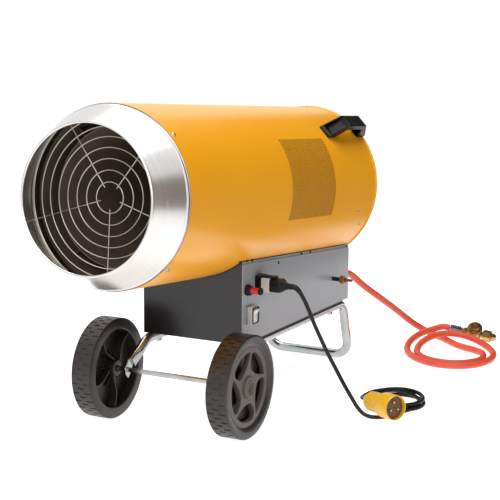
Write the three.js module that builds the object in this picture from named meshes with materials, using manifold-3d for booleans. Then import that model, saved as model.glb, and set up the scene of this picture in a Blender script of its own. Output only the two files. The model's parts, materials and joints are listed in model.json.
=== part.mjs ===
// Gas-fired forced air heater on a two-wheel trolley, in millimetres.
// +X is the control panel's side, the outlet faces -Y, +Z is up, and z = 0 is the floor it stands on.
// A round casing holds the burner and the fan. It lies nose-up on a base box, which is bolted to a bent
// tube frame with two wheels at the front and a floor bar at the rear.
import * as THREE from 'three';
import { mergeVertices } from 'three/addons/utils/BufferGeometryUtils.js';
import Module from 'manifold-3d';

const wasm = await Module();
wasm.setup();

// ---------- Driving dimensions ----------
const seatGap = 0.3; // between two pieces that touch
const sheet = 1.5; // thickness of the sheet-metal walls
const frontRimY = -374.8; // the casing's front rim, from the middle of the machine's length

const casingDiameter = 335;
const casingLength = 820;
const casingUnderside = 314.5; // height above the floor at the front rim
const nosePitch = 5.9; // degrees that the outlet points up
const hemHeight = 2.4; // of the rolled hem at the rear edge
const hemLength = 6;

const mouthDiameter = 263;
const coneLength = 74;
const mouthBead = 3; // radius of the rolled edge
const coneCollar = 24; // how far the cone's collar slides into the casing
const coneWall = 1.2;
const screwCircleY = 14; // the cone's screws, behind the casing's rim

const grillePlaneY = 4;
const grilleFirstRing = 28; // radius
const grillePitch = 20.5;
const grilleRings = 7;
const grilleWire = 3;
const grilleSpokes = 5;

const chamberDiameter = 260;
const chamberFront = 34;
const chamberRear = 424;

const motorDiameter = 96;
const motorInset = 260; // from the casing's rear to the motor's front
const motorLength = 100;
const shaftDiameter = 10;
const fanDiameter = 306;
const fanHubDiameter = 50;
const fanInset = 114; // from the casing's rear to the fan
const fanBlades = 5;
const guardInset = 12; // from the casing's rear to the guard
const guardRings = 5;
const guardWire = 3;
const guardSpokes = 4;

const boxWidth = 223;
const boxLength = 502;
const boxFront = 294; // behind the casing's front rim
const boxBottom = 158; // at the front edge
const chassisPitch = 1; // degrees that the base box falls towards the rear
const stripHeight = 9; // of the mounting strip that shows between panel and casing

const wheelDiameter = 200;
const wheelWidth = 44;
const trackWidth = 340; // over the wheels' outer faces
const axleDiameter = 10;
const axleY = 218; // behind the casing's front rim
const axleClearance = 0.4; // radial
const treadSlots = 24;
const treadDepth = 2.2;
const treadLand = 0.36; // half width of a land between two slots, as a share of their pitch
const treadWall = 0.04; // width of a slot's slanted wall, as a share of the pitch

const frameTube = 20; // diameter
const railSpacing = 200; // between the rails' centres
const legTopY = 792;
const floorBarY = 830;
const floorFlat = 1; // depth of the flat that the floor bar stands on
const frameBend = 36; // radius of the frame's bends
const lugThickness = 6;
const boltDiameter = 6;

const handleLength = 186;
const handleWidth = 30;
const handleHeight = 37;
const handleOverhang = 2; // how far the handles reach past the casing's rear
const handleAngle = 45; // degrees from the casing's side

const leadDiameter = 8;
const hoseDiameter = 15;

// ---------- Values that follow ----------
const casingRadius = casingDiameter / 2;
const casingAxisHeight = casingUnderside + casingRadius; // at the front rim
const casingBore = casingRadius - sheet;
const wheelRadius = wheelDiameter / 2;
const wheelInner = trackWidth / 2 - wheelWidth;
const tubeRadius = frameTube / 2;
const railX = railSpacing / 2;
const panelFace = boxWidth / 2; // the panel's outer face, in X
const panelBack = panelFace - sheet;
const chamberRadius = chamberDiameter / 2;
const motorRadius = motorDiameter / 2;
const motorFront = casingLength - motorInset;
const motorRear = motorFront + motorLength;
const fanPlaneY = casingLength - fanInset;
const guardPlaneY = casingLength - guardInset;
const handleRear = casingLength + handleOverhang;
const radians = THREE.MathUtils.degToRad;

// ---------- Materials ----------
const finish = (color, roughness, metalness) =>
  new THREE.MeshStandardMaterial({ color, roughness, metalness });
const enamel = () => finish(0xf2a51d, 0.3, 0.1);
const aluminised = () => finish(0xc4c6c8, 0.35, 0.9);
const wire = () => finish(0xb9b7b0, 0.4, 0.9);
const heatedSteel = () => finish(0x4c4641, 0.6, 0.8);
const darkPaint = () => finish(0x454345, 0.5, 0.2);
const greyPaint = () => finish(0x909197, 0.5, 0.2);
const zinc = () => finish(0xb9c0c0, 0.3, 0.9);
const blackPlastic = () => finish(0x28282b, 0.5, 0);
const wheelPlastic = () => finish(0x4a4547, 0.7, 0);
const brass = () => finish(0xc79a4b, 0.35, 0.9);
const copper = () => finish(0xb87352, 0.35, 0.9);
const redPlastic = () => finish(0xc4262b, 0.35, 0);
const greyPlastic = () => finish(0xc9c8c4, 0.5, 0);
const yellowPlastic = () => finish(0xf0bb1c, 0.4, 0);
const brownPlastic = () => finish(0x6b4a3a, 0.6, 0);
const ceramic = () => finish(0xe9e4da, 0.4, 0);
const orangeRubber = () => finish(0xe8583f, 0.5, 0);
const blackRubber = () => finish(0x262626, 0.6, 0);

// ---------- Geometry helpers ----------

// A closed mesh with shared vertices and its faces pointing out.
function closed(geometry) {
  const bare = geometry.clone();
  bare.deleteAttribute('normal');
  bare.deleteAttribute('uv');
  const merged = mergeVertices(bare, 1e-3);
  const index = Array.from(merged.index.array);
  const kept = [];
  for (let i = 0; i < index.length; i += 3) {
    const [a, b, c] = index.slice(i, i + 3);
    if (a !== b && b !== c && a !== c) kept.push(a, b, c);
  }
  const point = (n) => new THREE.Vector3().fromBufferAttribute(merged.attributes.position, n);
  let volume = 0;
  for (let i = 0; i < kept.length; i += 3) {
    volume += point(kept[i]).dot(point(kept[i + 1]).cross(point(kept[i + 2])));
  }
  if (volume < 0) kept.reverse();
  merged.setIndex(kept);
  return merged;
}

function toSolid(geometry) {
  const mesh = closed(geometry);
  return new wasm.Manifold(new wasm.Mesh({
    numProp: 3,
    vertProperties: new Float32Array(mesh.attributes.position.array),
    triVerts: new Uint32Array(mesh.index.array),
  }));
}

function toGeometry(solid) {
  const mesh = solid.getMesh();
  const geometry = new THREE.BufferGeometry();
  geometry.setAttribute('position', new THREE.BufferAttribute(mesh.vertProperties, 3));
  geometry.setIndex(Array.from(mesh.triVerts));
  return geometry;
}

function join(first, ...rest) {
  return toGeometry(rest.reduce((sum, next) => sum.add(toSolid(next)), toSolid(first)));
}

function cut(first, ...tools) {
  return toGeometry(tools.reduce((left, tool) => left.subtract(toSolid(tool)), toSolid(first)));
}

const alongAxis = {
  x: (geometry) => geometry.rotateZ(-Math.PI / 2),
  y: (geometry) => geometry,
  z: (geometry) => geometry.rotateX(Math.PI / 2),
};

// A round bar from one place to another along an axis.
function rod(axis, radius, from, to, sides = 24) {
  const bar = new THREE.CylinderGeometry(radius, radius, to - from, sides);
  return alongAxis[axis](bar.translate(0, (from + to) / 2, 0));
}

// A turned piece. Its profile is [radius, place along the axis], and it closes on itself unless it starts
// and ends on the axis.
function turned(axis, profile, segments = 32) {
  const points = profile.map(([radius, place]) => new THREE.Vector2(radius, place));
  if (points[0].x > 0 || points.at(-1).x > 0) points.push(points[0].clone());
  return alongAxis[axis](new THREE.LatheGeometry(points, segments));
}

// A circle as a closed outline of straight steps.
function circle(x, y, radius, sides) {
  const outline = new THREE.Path();
  for (let i = 0; i < sides; i += 1) {
    const angle = (2 * Math.PI * i) / sides;
    const place = [x + radius * Math.cos(angle), y + radius * Math.sin(angle)];
    if (i === 0) outline.moveTo(...place);
    else outline.lineTo(...place);
  }
  return outline;
}

const shapeOf = (points) => new THREE.Shape(points.map(([a, b]) => new THREE.Vector2(a, b)));

const unitX = new THREE.Vector3(1, 0, 0);
const unitY = new THREE.Vector3(0, 1, 0);
const unitZ = new THREE.Vector3(0, 0, 1);
const planes = {
  x: new THREE.Matrix4().makeBasis(unitY, unitZ, unitX),
  y: new THREE.Matrix4().makeBasis(unitZ, unitX, unitY),
  z: new THREE.Matrix4(),
};

// A flat shape given thickness along an axis. The shape's points are (y, z) for x, (z, x) for y and
// (x, y) for z.
function slab(axis, shape, from, to, curveSegments = 8) {
  const plate = new THREE.ExtrudeGeometry(shape, { depth: to - from, bevelEnabled: false, curveSegments });
  return plate.translate(0, 0, from).applyMatrix4(planes[axis]);
}

function block([x0, x1], [y0, y1], [z0, z1]) {
  const box = new THREE.BoxGeometry(x1 - x0, y1 - y0, z1 - z0);
  return box.translate((x0 + x1) / 2, (y0 + y1) / 2, (z0 + z1) / 2);
}

// A path that takes one step to each of its listed points.
class StepPath extends THREE.Curve {
  constructor(points) {
    super();
    this.points = points;
  }

  getPoint(t, target = new THREE.Vector3()) {
    const place = t * (this.points.length - 1);
    const before = Math.min(Math.floor(place), this.points.length - 2);
    return target.lerpVectors(this.points[before], this.points[before + 1], place - before);
  }

  getUtoTmapping(u) {
    return u;
  }
}

// The points of a bent tube: straight runs between the corners, and an arc of the given radius at each.
function bentPoints(corners, bendRadius, stepsPerBend = 4) {
  const points = [corners[0].clone()];
  for (let i = 1; i < corners.length - 1; i += 1) {
    const before = corners[i - 1].clone().sub(corners[i]).normalize();
    const after = corners[i + 1].clone().sub(corners[i]).normalize();
    const half = before.angleTo(after) / 2;
    const inset = bendRadius / Math.tan(half);
    const centre = before.clone().add(after).normalize()
      .multiplyScalar(bendRadius / Math.sin(half)).add(corners[i]);
    const start = corners[i].clone().addScaledVector(before, inset).sub(centre);
    const arrival = corners[i].clone().addScaledVector(after, inset).sub(centre);
    const normal = start.clone().cross(arrival).normalize();
    const turn = Math.PI - 2 * half;
    for (let step = 0; step <= stepsPerBend; step += 1) {
      points.push(start.clone().applyAxisAngle(normal, (turn * step) / stepsPerBend).add(centre));
    }
  }
  points.push(corners.at(-1).clone());
  return points;
}

function tube(points, radius, sides) {
  const section = new THREE.Shape();
  for (let i = 0; i < sides; i += 1) {
    const angle = (2 * Math.PI * i) / sides;
    const place = [radius * Math.cos(angle), radius * Math.sin(angle)];
    if (i === 0) section.moveTo(...place);
    else section.lineTo(...place);
  }
  const path = new StepPath(points);
  const steps = points.length - 1;
  return new THREE.ExtrudeGeometry(section, { steps, extrudePath: path, bevelEnabled: false });
}

// ---------- The scene graph ----------
const heaterGroup = new THREE.Group();
const machine = new THREE.Group();
machine.position.set(0, frontRimY, 0);
heaterGroup.add(machine);

const casingGroup = new THREE.Group(); // its Y axis is the casing's axis, from the front rim to the rear
casingGroup.position.set(0, 0, casingAxisHeight);
casingGroup.rotation.x = -radians(nosePitch);
machine.add(casingGroup);

const baseGroup = new THREE.Group(); // its origin is the middle of the base box's lower front edge
baseGroup.position.set(0, boxFront, boxBottom);
baseGroup.rotation.x = -radians(chassisPitch);
machine.add(baseGroup);

for (const group of [machine, casingGroup, baseGroup]) group.updateMatrix();

function add(parent, name, geometry, material, place = [0, 0, 0]) {
  const mesh = new THREE.Mesh(closed(geometry), material);
  mesh.name = name;
  mesh.position.set(...place);
  parent.add(mesh);
  return mesh;
}

const inMachine = (group, x, y, z) => new THREE.Vector3(x, y, z).applyMatrix4(group.matrix);

// The casing's outside, hem and seat gap included. It cuts what stands on the casing or carries it.
function casingOutside() {
  const hemStart = casingLength - hemLength - seatGap;
  return join(
    rod('y', casingRadius + seatGap, -50, casingLength + 50, 64),
    rod('y', casingRadius + hemHeight + seatGap, hemStart, casingLength + 50, 64),
  );
}

const casingOnBase = () =>
  casingOutside().applyMatrix4(casingGroup.matrix).applyMatrix4(baseGroup.matrix.clone().invert());

// ---------- Casing ----------

function outerCasing() {
  const shell = turned('y', [
    [casingBore, 0], [casingRadius, 0], [casingRadius, casingLength - hemLength],
    [casingRadius + hemHeight, casingLength - hemLength + 2], [casingRadius + hemHeight, casingLength - 1],
    [casingRadius, casingLength], [casingBore, casingLength],
  ], 48);
  const pipeOpening = block([-48, 48], [440, 600], [-casingRadius - 5, -casingBore * 0.9]);
  const screwHoles = screwPlaces().map(([angle, y]) =>
    radialRod(2.6, casingBore - 3, casingRadius + 3, angle, y, 8));
  return cut(shell, pipeOpening, ...screwHoles);
}

// A short rod that points out from the casing's axis at an angle from +X, at a place along the axis.
function radialRod(radius, from, to, angle, y, sides = 12) {
  return rod('x', radius, from, to, sides).rotateY(-radians(angle)).translate(0, y, 0);
}

function screwPlaces() {
  return [45, 135, 225, 315].map((angle) => [angle, screwCircleY]);
}

function outletCone() {
  const mouth = mouthDiameter / 2;
  const wall = coneWall;
  const collar = casingBore - seatGap;
  const lip = casingRadius - 2.5; // where the cone meets the casing's rim
  const slope = (lip - mouth) / coneLength;
  const bead = [];
  for (let step = 0; step <= 4; step += 1) {
    const angle = radians(250 - 63 * step);
    bead.push([mouth + mouthBead + mouthBead * Math.cos(angle), -coneLength + mouthBead * Math.sin(angle)]);
  }
  const shell = turned('y', [
    ...bead.reverse(),
    [mouth + 1 + slope * 8, -coneLength + 8], [lip - wall, -6], [collar - wall, -2],
    [collar - wall, coneCollar],
    [collar, coneCollar], [collar, -seatGap], [lip + 1, -seatGap], [lip + 1, -4],
  ].reverse(), 48);
  const screwHoles = screwPlaces().map(([angle, y]) => radialRod(2.6, collar - 5, collar + 3, angle, y, 8));
  return cut(shell, ...screwHoles);
}

// A wire screen of rings and spokes, and feet that reach the wall it is fastened to.
function wireScreen(firstRing, pitch, rings, wireDiameter, spokes, reach) {
  const wireRadius = wireDiameter / 2;
  const wireSides = 4;
  const parts = [];
  for (let i = 0; i < rings; i += 1) {
    const ring = new THREE.TorusGeometry(firstRing + pitch * i, wireRadius, wireSides, 14 + 2 * i);
    parts.push(ring.rotateX(Math.PI / 2));
  }
  for (let i = 0; i < spokes; i += 1) {
    const spoke = rod('x', wireRadius, firstRing - 7, reach, wireSides).translate(0, wireRadius, 0);
    parts.push(spoke.rotateY(radians(90 + (360 / spokes) * i)));
  }
  return join(...parts);
}

function combustionChamber() {
  const shell = turned('y', [
    [chamberRadius - sheet, chamberFront], [chamberRadius, chamberFront],
    [chamberRadius, chamberRear], [chamberRadius - sheet, chamberRear],
  ], 40);
  const tabs = [];
  for (const y of [chamberFront + 40, chamberRear - 60]) {
    for (const angle of [45, 135, 225, 315]) {
      const tab = block([chamberRadius - 1, casingBore - seatGap * 2], [y, y + 22], [-1, 1]);
      tabs.push(tab.rotateY(-radians(angle)));
    }
  }
  return join(shell, ...tabs);
}

const burnerHole = 31; // radius of the plate's middle hole, for the burner head's neck

function burnerPlate() {
  const disc = new THREE.Shape(circle(0, 0, chamberRadius, 32).getPoints());
  const hole = (x, y, radius) => disc.holes.push(circle(x, y, radius, 6));
  disc.holes.push(circle(0, 0, burnerHole, 20));
  for (let i = 0; i < 10; i += 1) {
    const angle = radians(18 + 36 * i);
    hole(95 * Math.cos(angle), 95 * Math.sin(angle), 9);
  }
  for (const side of [-1, 1]) hole(sensorZ, side * sensorX, sensorRadius + seatGap * 4);
  return slab('y', disc, chamberRear + seatGap, chamberRear + seatGap + sheet);
}

const sensorRadius = 4.5;
const sensorX = 30;
const sensorZ = 50;

function burnerHead() {
  const neck = burnerHole - seatGap;
  return turned('y', [
    [nozzleRadius + seatGap, chamberRear + 30], [nozzleRadius + seatGap, chamberRear - 8],
    [46, chamberRear - 46],
    [48, chamberRear - 46], [neck, chamberRear - 12], [neck, chamberRear + 20],
    [nozzleRadius + 5, chamberRear + 30],
  ], 20);
}

const nozzleRadius = 7;
const nozzleRear = chamberRear + 52;
const nozzleSocket = 12; // how far the burner's pipe goes in

function gasNozzle() {
  return turned('y', [
    [2, chamberRear - 2], [nozzleRadius - 2, chamberRear - 2], [nozzleRadius, chamberRear + 4],
    [nozzleRadius, chamberRear + 34], [nozzleRadius + 3, chamberRear + 34], [nozzleRadius + 3, nozzleRear],
    [pipeRadius + seatGap, nozzleRear], [pipeRadius + seatGap, nozzleRear - nozzleSocket],
    [2, nozzleRear - nozzleSocket],
  ], 12);
}

// The electrode and the flame sensor are ceramic rods with a thin tip, held by the burner plate.
function sensorRod(tipRadius, tipLength) {
  return turned('y', [
    [0, chamberRear - 30 - tipLength], [tipRadius, chamberRear - 30 - tipLength],
    [tipRadius, chamberRear - 30],
    [sensorRadius, chamberRear - 28], [sensorRadius, chamberRear + 30], [2, chamberRear + 32],
    [2, chamberRear + 40],
    [0, chamberRear + 40],
  ], 12);
}

function fanMotor() {
  const bore = shaftDiameter / 2 + seatGap;
  return turned('y', [
    [0, motorFront], [motorRadius * 0.6, motorFront], [motorRadius, motorFront + 10],
    [motorRadius, motorRear - 10],
    [motorRadius * 0.6, motorRear], [16, motorRear], [16, motorRear + 6], [bore, motorRear + 6],
    [bore, motorRear - 30],
    [0, motorRear - 30],
  ], 20);
}

function motorMount() {
  const ringInner = motorRadius + seatGap;
  const y0 = motorFront + 35;
  const ring = turned('y',
    [[ringInner, y0], [ringInner + 3, y0], [ringInner + 3, y0 + 30], [ringInner, y0 + 30]], 20);
  const arms = [45, 135, 225, 315].map((angle) =>
    block([ringInner + 1, casingBore - seatGap * 2], [y0 + 2, y0 + 28], [-1.25, 1.25])
      .rotateY(-radians(angle)));
  return join(ring, ...arms);
}

function motorShaft() {
  return rod('y', shaftDiameter / 2, motorRear - 29, fanPlaneY + 20, 16);
}

function fan() {
  const hubRadius = fanHubDiameter / 2;
  const bore = shaftDiameter / 2 + seatGap;
  const hub = turned('y', [
    [bore, fanPlaneY - 14], [hubRadius, fanPlaneY - 14], [hubRadius, fanPlaneY + 10],
    [hubRadius - 6, fanPlaneY + 15], [bore, fanPlaneY + 15],
  ], 16);
  const outline = new THREE.Shape();
  const tip = fanDiameter / 2;
  outline.moveTo(hubRadius - 3, -12);
  outline.quadraticCurveTo(tip * 0.6, -32, tip - 8, -30);
  outline.quadraticCurveTo(tip + 1, 0, tip - 12, 32);
  outline.quadraticCurveTo(tip * 0.5, 30, hubRadius - 3, 12);
  outline.closePath();
  const blades = [];
  for (let i = 0; i < fanBlades; i += 1) {
    const blade = slab('z', outline, -1, 1, 4).rotateX(radians(62));
    blades.push(blade.rotateY(radians((360 / fanBlades) * i)).translate(0, fanPlaneY, 0));
  }
  return join(hub, ...blades);
}

function carryHandle() {
  const length = handleLength;
  const height = handleHeight;
  const wall = 3.5;
  const grip = 13; // thickness of the grip
  const width = handleWidth / 2;
  const side = shapeOf([
    [0, -2], [0, 4], [50, height], [length - 46, height], [length, 6], [length, -2],
    [length - 34, -2], [length - 50, height - grip], [62, height - grip], [30, -2],
  ]);
  const frontPocket = shapeOf(
    [[9, 5], [26, 5], [54, height - grip + wall], [58, height + 20], [-12, height]]);
  const rearPocket = shapeOf([
    [length - 29, 5], [length - 9, 5], [length - 52, height - 3.5], [length - 62, height - 3.5],
    [length - 70, height - 22], [length - 50, -10],
  ]);
  const surface = casingOutside().translate(0, length - handleRear, -casingRadius);
  return cut(
    slab('x', side, -width, width),
    slab('x', frontPocket, -width + wall, width - wall),
    slab('x', rearPocket, -width + wall, width - wall),
    surface,
  );
}

// ---------- Base box ----------

function baseTray() {
  const inner = panelBack - seatGap;
  const height = 200;
  const profile = shapeOf([
    [0, 0], [boxLength, 0], [boxLength, height], [boxLength - sheet, height], [boxLength - sheet, sheet],
    [sheet, sheet], [sheet, height], [0, height],
  ]);
  const boltHoles = boltPlaces().map(([x, y]) =>
    rod('z', boltDiameter / 2 + seatGap, -5, 10, 12).translate(x, y, 0));
  const gasHole = rod('y', inletNeck + seatGap, boxLength - 10, boxLength + 10, 16)
    .translate(gasInletX, 0, gasInletZ);
  return cut(slab('x', profile, -inner, inner), casingOnBase(), gasHole, ...boltHoles);
}

// A side panel's outline follows the casing's underside, one strip height below it.
function sidePanel(side, holes) {
  const from = side > 0 ? panelBack : -panelFace;
  const plate = block([from, from + sheet], [0, boxLength], [0, 200]);
  const casing = casingOnBase().translate(0, 0, -stripHeight);
  return cut(plate, casing, ...holes);
}

function mountingStrip(side) {
  const outer = panelBack - seatGap;
  const from = side > 0 ? outer - sheet : -outer;
  const edge = block([from, from + sheet], [sheet + 1, boxLength - sheet - 1], [90, 200]);
  const below = casingOnBase().translate(0, 0, -stripHeight - 12);
  const strip = toSolid(edge).subtract(toSolid(casingOnBase())).intersect(toSolid(below));
  return toGeometry(strip);
}

// ---------- Trolley ----------

function boltPlaces() {
  return [-railX, railX].flatMap((x) => [[x, 40], [x, boxLength - 72]]);
}

function baseFrame() {
  const railDrop = tubeRadius + seatGap; // the rails' centres below the box's floor
  const corner = (x, y, z) => new THREE.Vector3(x, y, z);
  const sideOf = (x) => [
    corner(x, axleY + 14, wheelRadius + 12),
    inMachine(baseGroup, x, -6, -railDrop),
    inMachine(baseGroup, x, legTopY - boxFront, -railDrop),
    corner(x, floorBarY, tubeRadius - floorFlat),
  ];
  const path = bentPoints([...sideOf(railX), ...sideOf(-railX).reverse()], frameBend);
  const lug = shapeOf([[-11, 5], [2, 20], [26, 26], [30, 16], [14, 2], [8, -8], [0, -17], [-8, -8]].map(
    ([y, z]) => [axleY + y, wheelRadius + z]));
  const lugs = [-1, 1].map((side) => {
    const middle = side * (railX + 4);
    return slab('x', lug, middle - lugThickness / 2, middle + lugThickness / 2);
  });
  const axleHole = rod('x', axleDiameter / 2 + axleClearance, -railX - 30, railX + 30, 20)
    .translate(0, axleY, wheelRadius);
  const boltHoles = boltPlaces().map(([x, y]) =>
    rod('z', boltDiameter / 2 + seatGap, -40, 20, 12).translate(x, y, 0).applyMatrix4(baseGroup.matrix));
  const flats = boltPlaces().map(([x, y]) =>
    block([x - 8, x + 8], [y - 8, y + 8], [-frameTube - 12, -frameTube + 1]).applyMatrix4(baseGroup.matrix));
  const floor = block([-railX - frameTube, railX + frameTube],
    [floorBarY - frameBend * 2, floorBarY + frameTube], [-frameTube, 0]);
  return cut(join(tube(path, tubeRadius, 8), ...lugs), axleHole, floor, ...boltHoles, ...flats);
}

// The bolts come up through the rails into the base box's floor.
function frameBolt() {
  const seat = -frameTube + 1 - seatGap;
  return join(rod('z', 6.5, seat - 5, seat, 6), rod('z', boltDiameter / 2, seat - 1, 8, 10));
}

// One moulded wheel, its outer face at x = 0 and its inner face at x = -wheelWidth.
function wheel() {
  const rimInner = wheelRadius - 22;
  const treadOuter = new THREE.Shape();
  const step = (2 * Math.PI) / treadSlots;
  for (let i = 0; i < treadSlots; i += 1) {
    const start = -Math.PI / 2 + i * step;
    const slotStart = treadLand + treadWall;
    const corners = [[-treadLand, 0], [treadLand, 0], [slotStart, treadDepth], [1 - slotStart, treadDepth]];
    for (const [turn, depth] of corners) {
      const angle = start + turn * step;
      const radius = (wheelRadius - depth) / Math.cos(treadLand * step);
      const place = [radius * Math.cos(angle), radius * Math.sin(angle)];
      if (i === 0 && turn < 0) treadOuter.moveTo(...place);
      else treadOuter.lineTo(...place);
    }
  }
  treadOuter.closePath();
  treadOuter.holes.push(circle(0, 0, rimInner, 32));
  const rim = slab('x', treadOuter, -wheelWidth, 0);

  const web = new THREE.Shape(circle(0, 0, rimInner + 1, 32).getPoints());
  for (let i = 0; i < 5; i += 1) web.holes.push(wheelWindow((2 * Math.PI * i) / 5));
  const face = slab('x', web, -16, -3, 3);
  const hub = rod('x', 21, -wheelWidth, -1, 16);
  const ribs = [];
  for (let i = 0; i < 5; i += 1) {
    const rib = block([-wheelWidth + 8, -12], [15, rimInner + 1], [-1.5, 1.5]);
    ribs.push(rib.rotateX((2 * Math.PI * (i + 0.42)) / 5));
  }
  const bore = rod('x', axleDiameter / 2 + axleClearance, -wheelWidth - 5, 5, 16);
  const capSeat = rod('x', capRadius + seatGap, -capDepth - seatGap, 5, 12);
  return cut(join(rim, face, hub, ...ribs), bore, capSeat);
}

const capRadius = 14;
const capDepth = 9;

// A curved, leaf-shaped window between two of the wheel's swept spokes.
function wheelWindow(turn) {
  const place = (radius, degrees) => [
    radius * Math.cos(turn + radians(degrees)), radius * Math.sin(turn + radians(degrees)),
  ];
  const outline = new THREE.Path();
  outline.moveTo(...place(68, 10));
  outline.quadraticCurveTo(...place(73, 32), ...place(66, 52));
  outline.quadraticCurveTo(...place(62, 62), ...place(51, 62));
  outline.quadraticCurveTo(...place(33, 62), ...place(30, 30));
  outline.quadraticCurveTo(...place(36, 8), ...place(68, 10));
  return outline;
}

function hubCap() {
  return turned('x', [
    [0, -3], [11, -3], [11, -capDepth], [capRadius, -capDepth], [capRadius, -2], [capRadius - 3, 0],
    [0, 0]], 12);
}

// ---------- Gas line ----------
const valveY = 420; // along the base box
const valveZ = 58;
const valveX = 84;
const gasInletX = valveX;
const gasInletZ = 44.5;
const inletNeck = 8; // radius of the neck through the rear wall
const valveNeck = 4.6; // radius
const neckEnd = panelFace + 30;
const valveBoreRadius = 3.5;
const pushRodRadius = 3.1;
const pushTravel = 5;
const pipeRadius = 4;

function gasValve() {
  const body = block([valveX - 20, panelBack - 4], [valveY - 20, valveY + 20], [valveZ - 22, valveZ + 18]);
  const shoulder = rod('x', 10, panelBack - 5, panelBack - seatGap, 16).translate(0, valveY, valveZ);
  const neck = rod('x', valveNeck, panelBack - 6, neckEnd, 16).translate(0, valveY, valveZ);
  const outlet = rod('y', 7, valveY - 30, valveY - 19, 6).translate(valveX, 0, valveZ);
  const inlet = rod('y', 7, valveY + 19, valveY + 30, 6).translate(gasInletX, 0, gasInletZ);
  const bore = rod('x', valveBoreRadius, panelFace + 4, neckEnd + 5, 16).translate(0, valveY, valveZ);
  const ports = [
    rod('y', pipeRadius + seatGap, valveY - 35, valveY - 24, 12).translate(valveX, 0, valveZ),
    rod('y', pipeRadius + seatGap, valveY + 24, valveY + 35, 12).translate(gasInletX, 0, gasInletZ),
  ];
  return cut(join(body, shoulder, neck, outlet, inlet), bore, ...ports);
}

function valveNut() {
  const from = neckEnd - 12;
  return cut(
    join(rod('x', 9, from, from + 8, 6), rod('x', 7, from + 7, from + 11.5, 16)),
    rod('x', valveNeck + seatGap, from - 5, from + 20, 16),
  );
}

function valvePushRod() {
  const end = neckEnd + 16.5;
  return turned('x', [
    [0, panelFace + 4 + pushTravel + 1], [pushRodRadius, panelFace + 4 + pushTravel + 1],
    [pushRodRadius, end - 4],
    [pushRodRadius - 1, end], [0, end],
  ], 12);
}

// The bulkhead fitting in the base box's rear wall, with the hose's nut behind it.
const inletFittingEnd = boxLength + 16;

function gasInlet() {
  return turned('y', [
    [pipeRadius + seatGap, boxLength - 26], [9, boxLength - 26], [9, boxLength - 14],
    [inletNeck + 4, boxLength - 14],
    [inletNeck + 4, boxLength - sheet - seatGap], [inletNeck, boxLength - sheet - seatGap],
    [inletNeck, boxLength + seatGap], [inletNeck + 4, boxLength + seatGap], [inletNeck + 4, boxLength + 6],
    [inletNeck, boxLength + 6], [inletNeck, inletFittingEnd], [3, inletFittingEnd], [3, boxLength - 10],
    [pipeRadius + seatGap, boxLength - 10],
  ], 12);
}

function inletPipe() {
  return rod('y', pipeRadius, valveY + 24 + seatGap, boxLength - 10 - seatGap, 10);
}

// From the valve forward and across the box, up through the casing's opening and forward into the nozzle.
function burnerPipe() {
  const rise = nozzleRear + 26; // along the casing
  const end = inMachine(casingGroup, 0, nozzleRear - nozzleSocket + seatGap, 0);
  const top = inMachine(casingGroup, 0, rise, 0);
  const foot = inMachine(baseGroup, 0, 0, valveZ);
  const points = bentPoints([
    inMachine(baseGroup, valveX, valveY - 24 - seatGap, valveZ),
    inMachine(baseGroup, valveX, valveY - 75, valveZ),
    new THREE.Vector3(0, top.y, foot.z),
    top,
    end,
  ], 16, 4);
  return tube(points, pipeRadius, 8);
}

// ---------- Controls on the panel ----------
const igniterY = 18;
const igniterZ = 106;
const igniterRadius = 6.5;
const igniterBase = panelFace + 10; // the collar's outer end
const rockerY = 34;
const rockerZ = 54;
const socketY = 66;
const socketZ = 111;

function igniterBody() {
  const bore = igniterRadius + seatGap;
  return turned('x', [
    [0, panelBack - 46], [8, panelBack - 46], [8, panelBack + 0.5], [8, panelFace + seatGap],
    [11, panelFace + seatGap],
    [11, panelFace + 4], [9.5, igniterBase], [bore, igniterBase], [bore, panelFace - 8], [0, panelFace - 8],
  ], 20);
}

function igniterButton() {
  const end = igniterBase + 23;
  return turned('x', [
    [0, panelFace - 8 + 7], [igniterRadius, panelFace - 8 + 7], [igniterRadius, end - 4],
    [igniterRadius + 0.8, end - 3],
    [igniterRadius + 0.8, end - 0.8], [igniterRadius - 1, end], [0, end],
  ], 20);
}

const bezelHalf = [15, 18]; // half width and half height
const bezelFront = panelFace + 11;
const rockerHalf = [9.5, 13];

function rockerHousing() {
  const [y, z] = bezelHalf;
  const bezel = block([panelFace + seatGap, bezelFront], [-y, y], [-z, z]);
  const back = block([panelBack - 22, panelFace + 1], [-11, 11], [-14.5, 14.5]);
  const hollow = block([panelFace + 1, bezelFront + 5], [-rockerHalf[0] - 0.6, rockerHalf[0] + 0.6],
    [-rockerHalf[1] - 2, rockerHalf[1] + 2]);
  return cut(join(bezel, back), hollow);
}

const rockerPivotX = panelFace + 4;
const rockerTilt = 10; // degrees either way

function rocker() {
  const [halfWidth, halfHeight] = rockerHalf;
  const side = shapeOf([
    [-halfHeight, 2], [-halfHeight, 9], [0, 5.5], [halfHeight, 9], [halfHeight, 2], [4, -2], [-4, -2],
  ]);
  return slab('y', side, -halfWidth, halfWidth).rotateY(radians(rockerTilt));
}

const flangeHalf = [15, 17];
const shellHalf = [14, 14];
const flangeEnd = panelFace + 12.5;
const shellEnd = flangeEnd + 18;
const hoodEnd = shellEnd + 33;
const hoodExit = hoodEnd + 8;

function inletHousing() {
  const [y, z] = flangeHalf;
  const flange = block([panelFace + seatGap, flangeEnd], [-y, y], [-z, z]);
  const back = block([panelBack - 20, panelFace + 1], [-12, 12], [-12, 12]);
  return join(flange, back);
}

function inletShell() {
  const [y, z] = shellHalf;
  const pinHole = rod('x', 3, flangeEnd + 6, shellEnd + 5, 12);
  return cut(block([flangeEnd + seatGap, shellEnd], [-y, y], [-z, z]), pinHole);
}

const latchPivot = [flangeEnd + 3.2, shellHalf[1] + 1.9];

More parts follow.
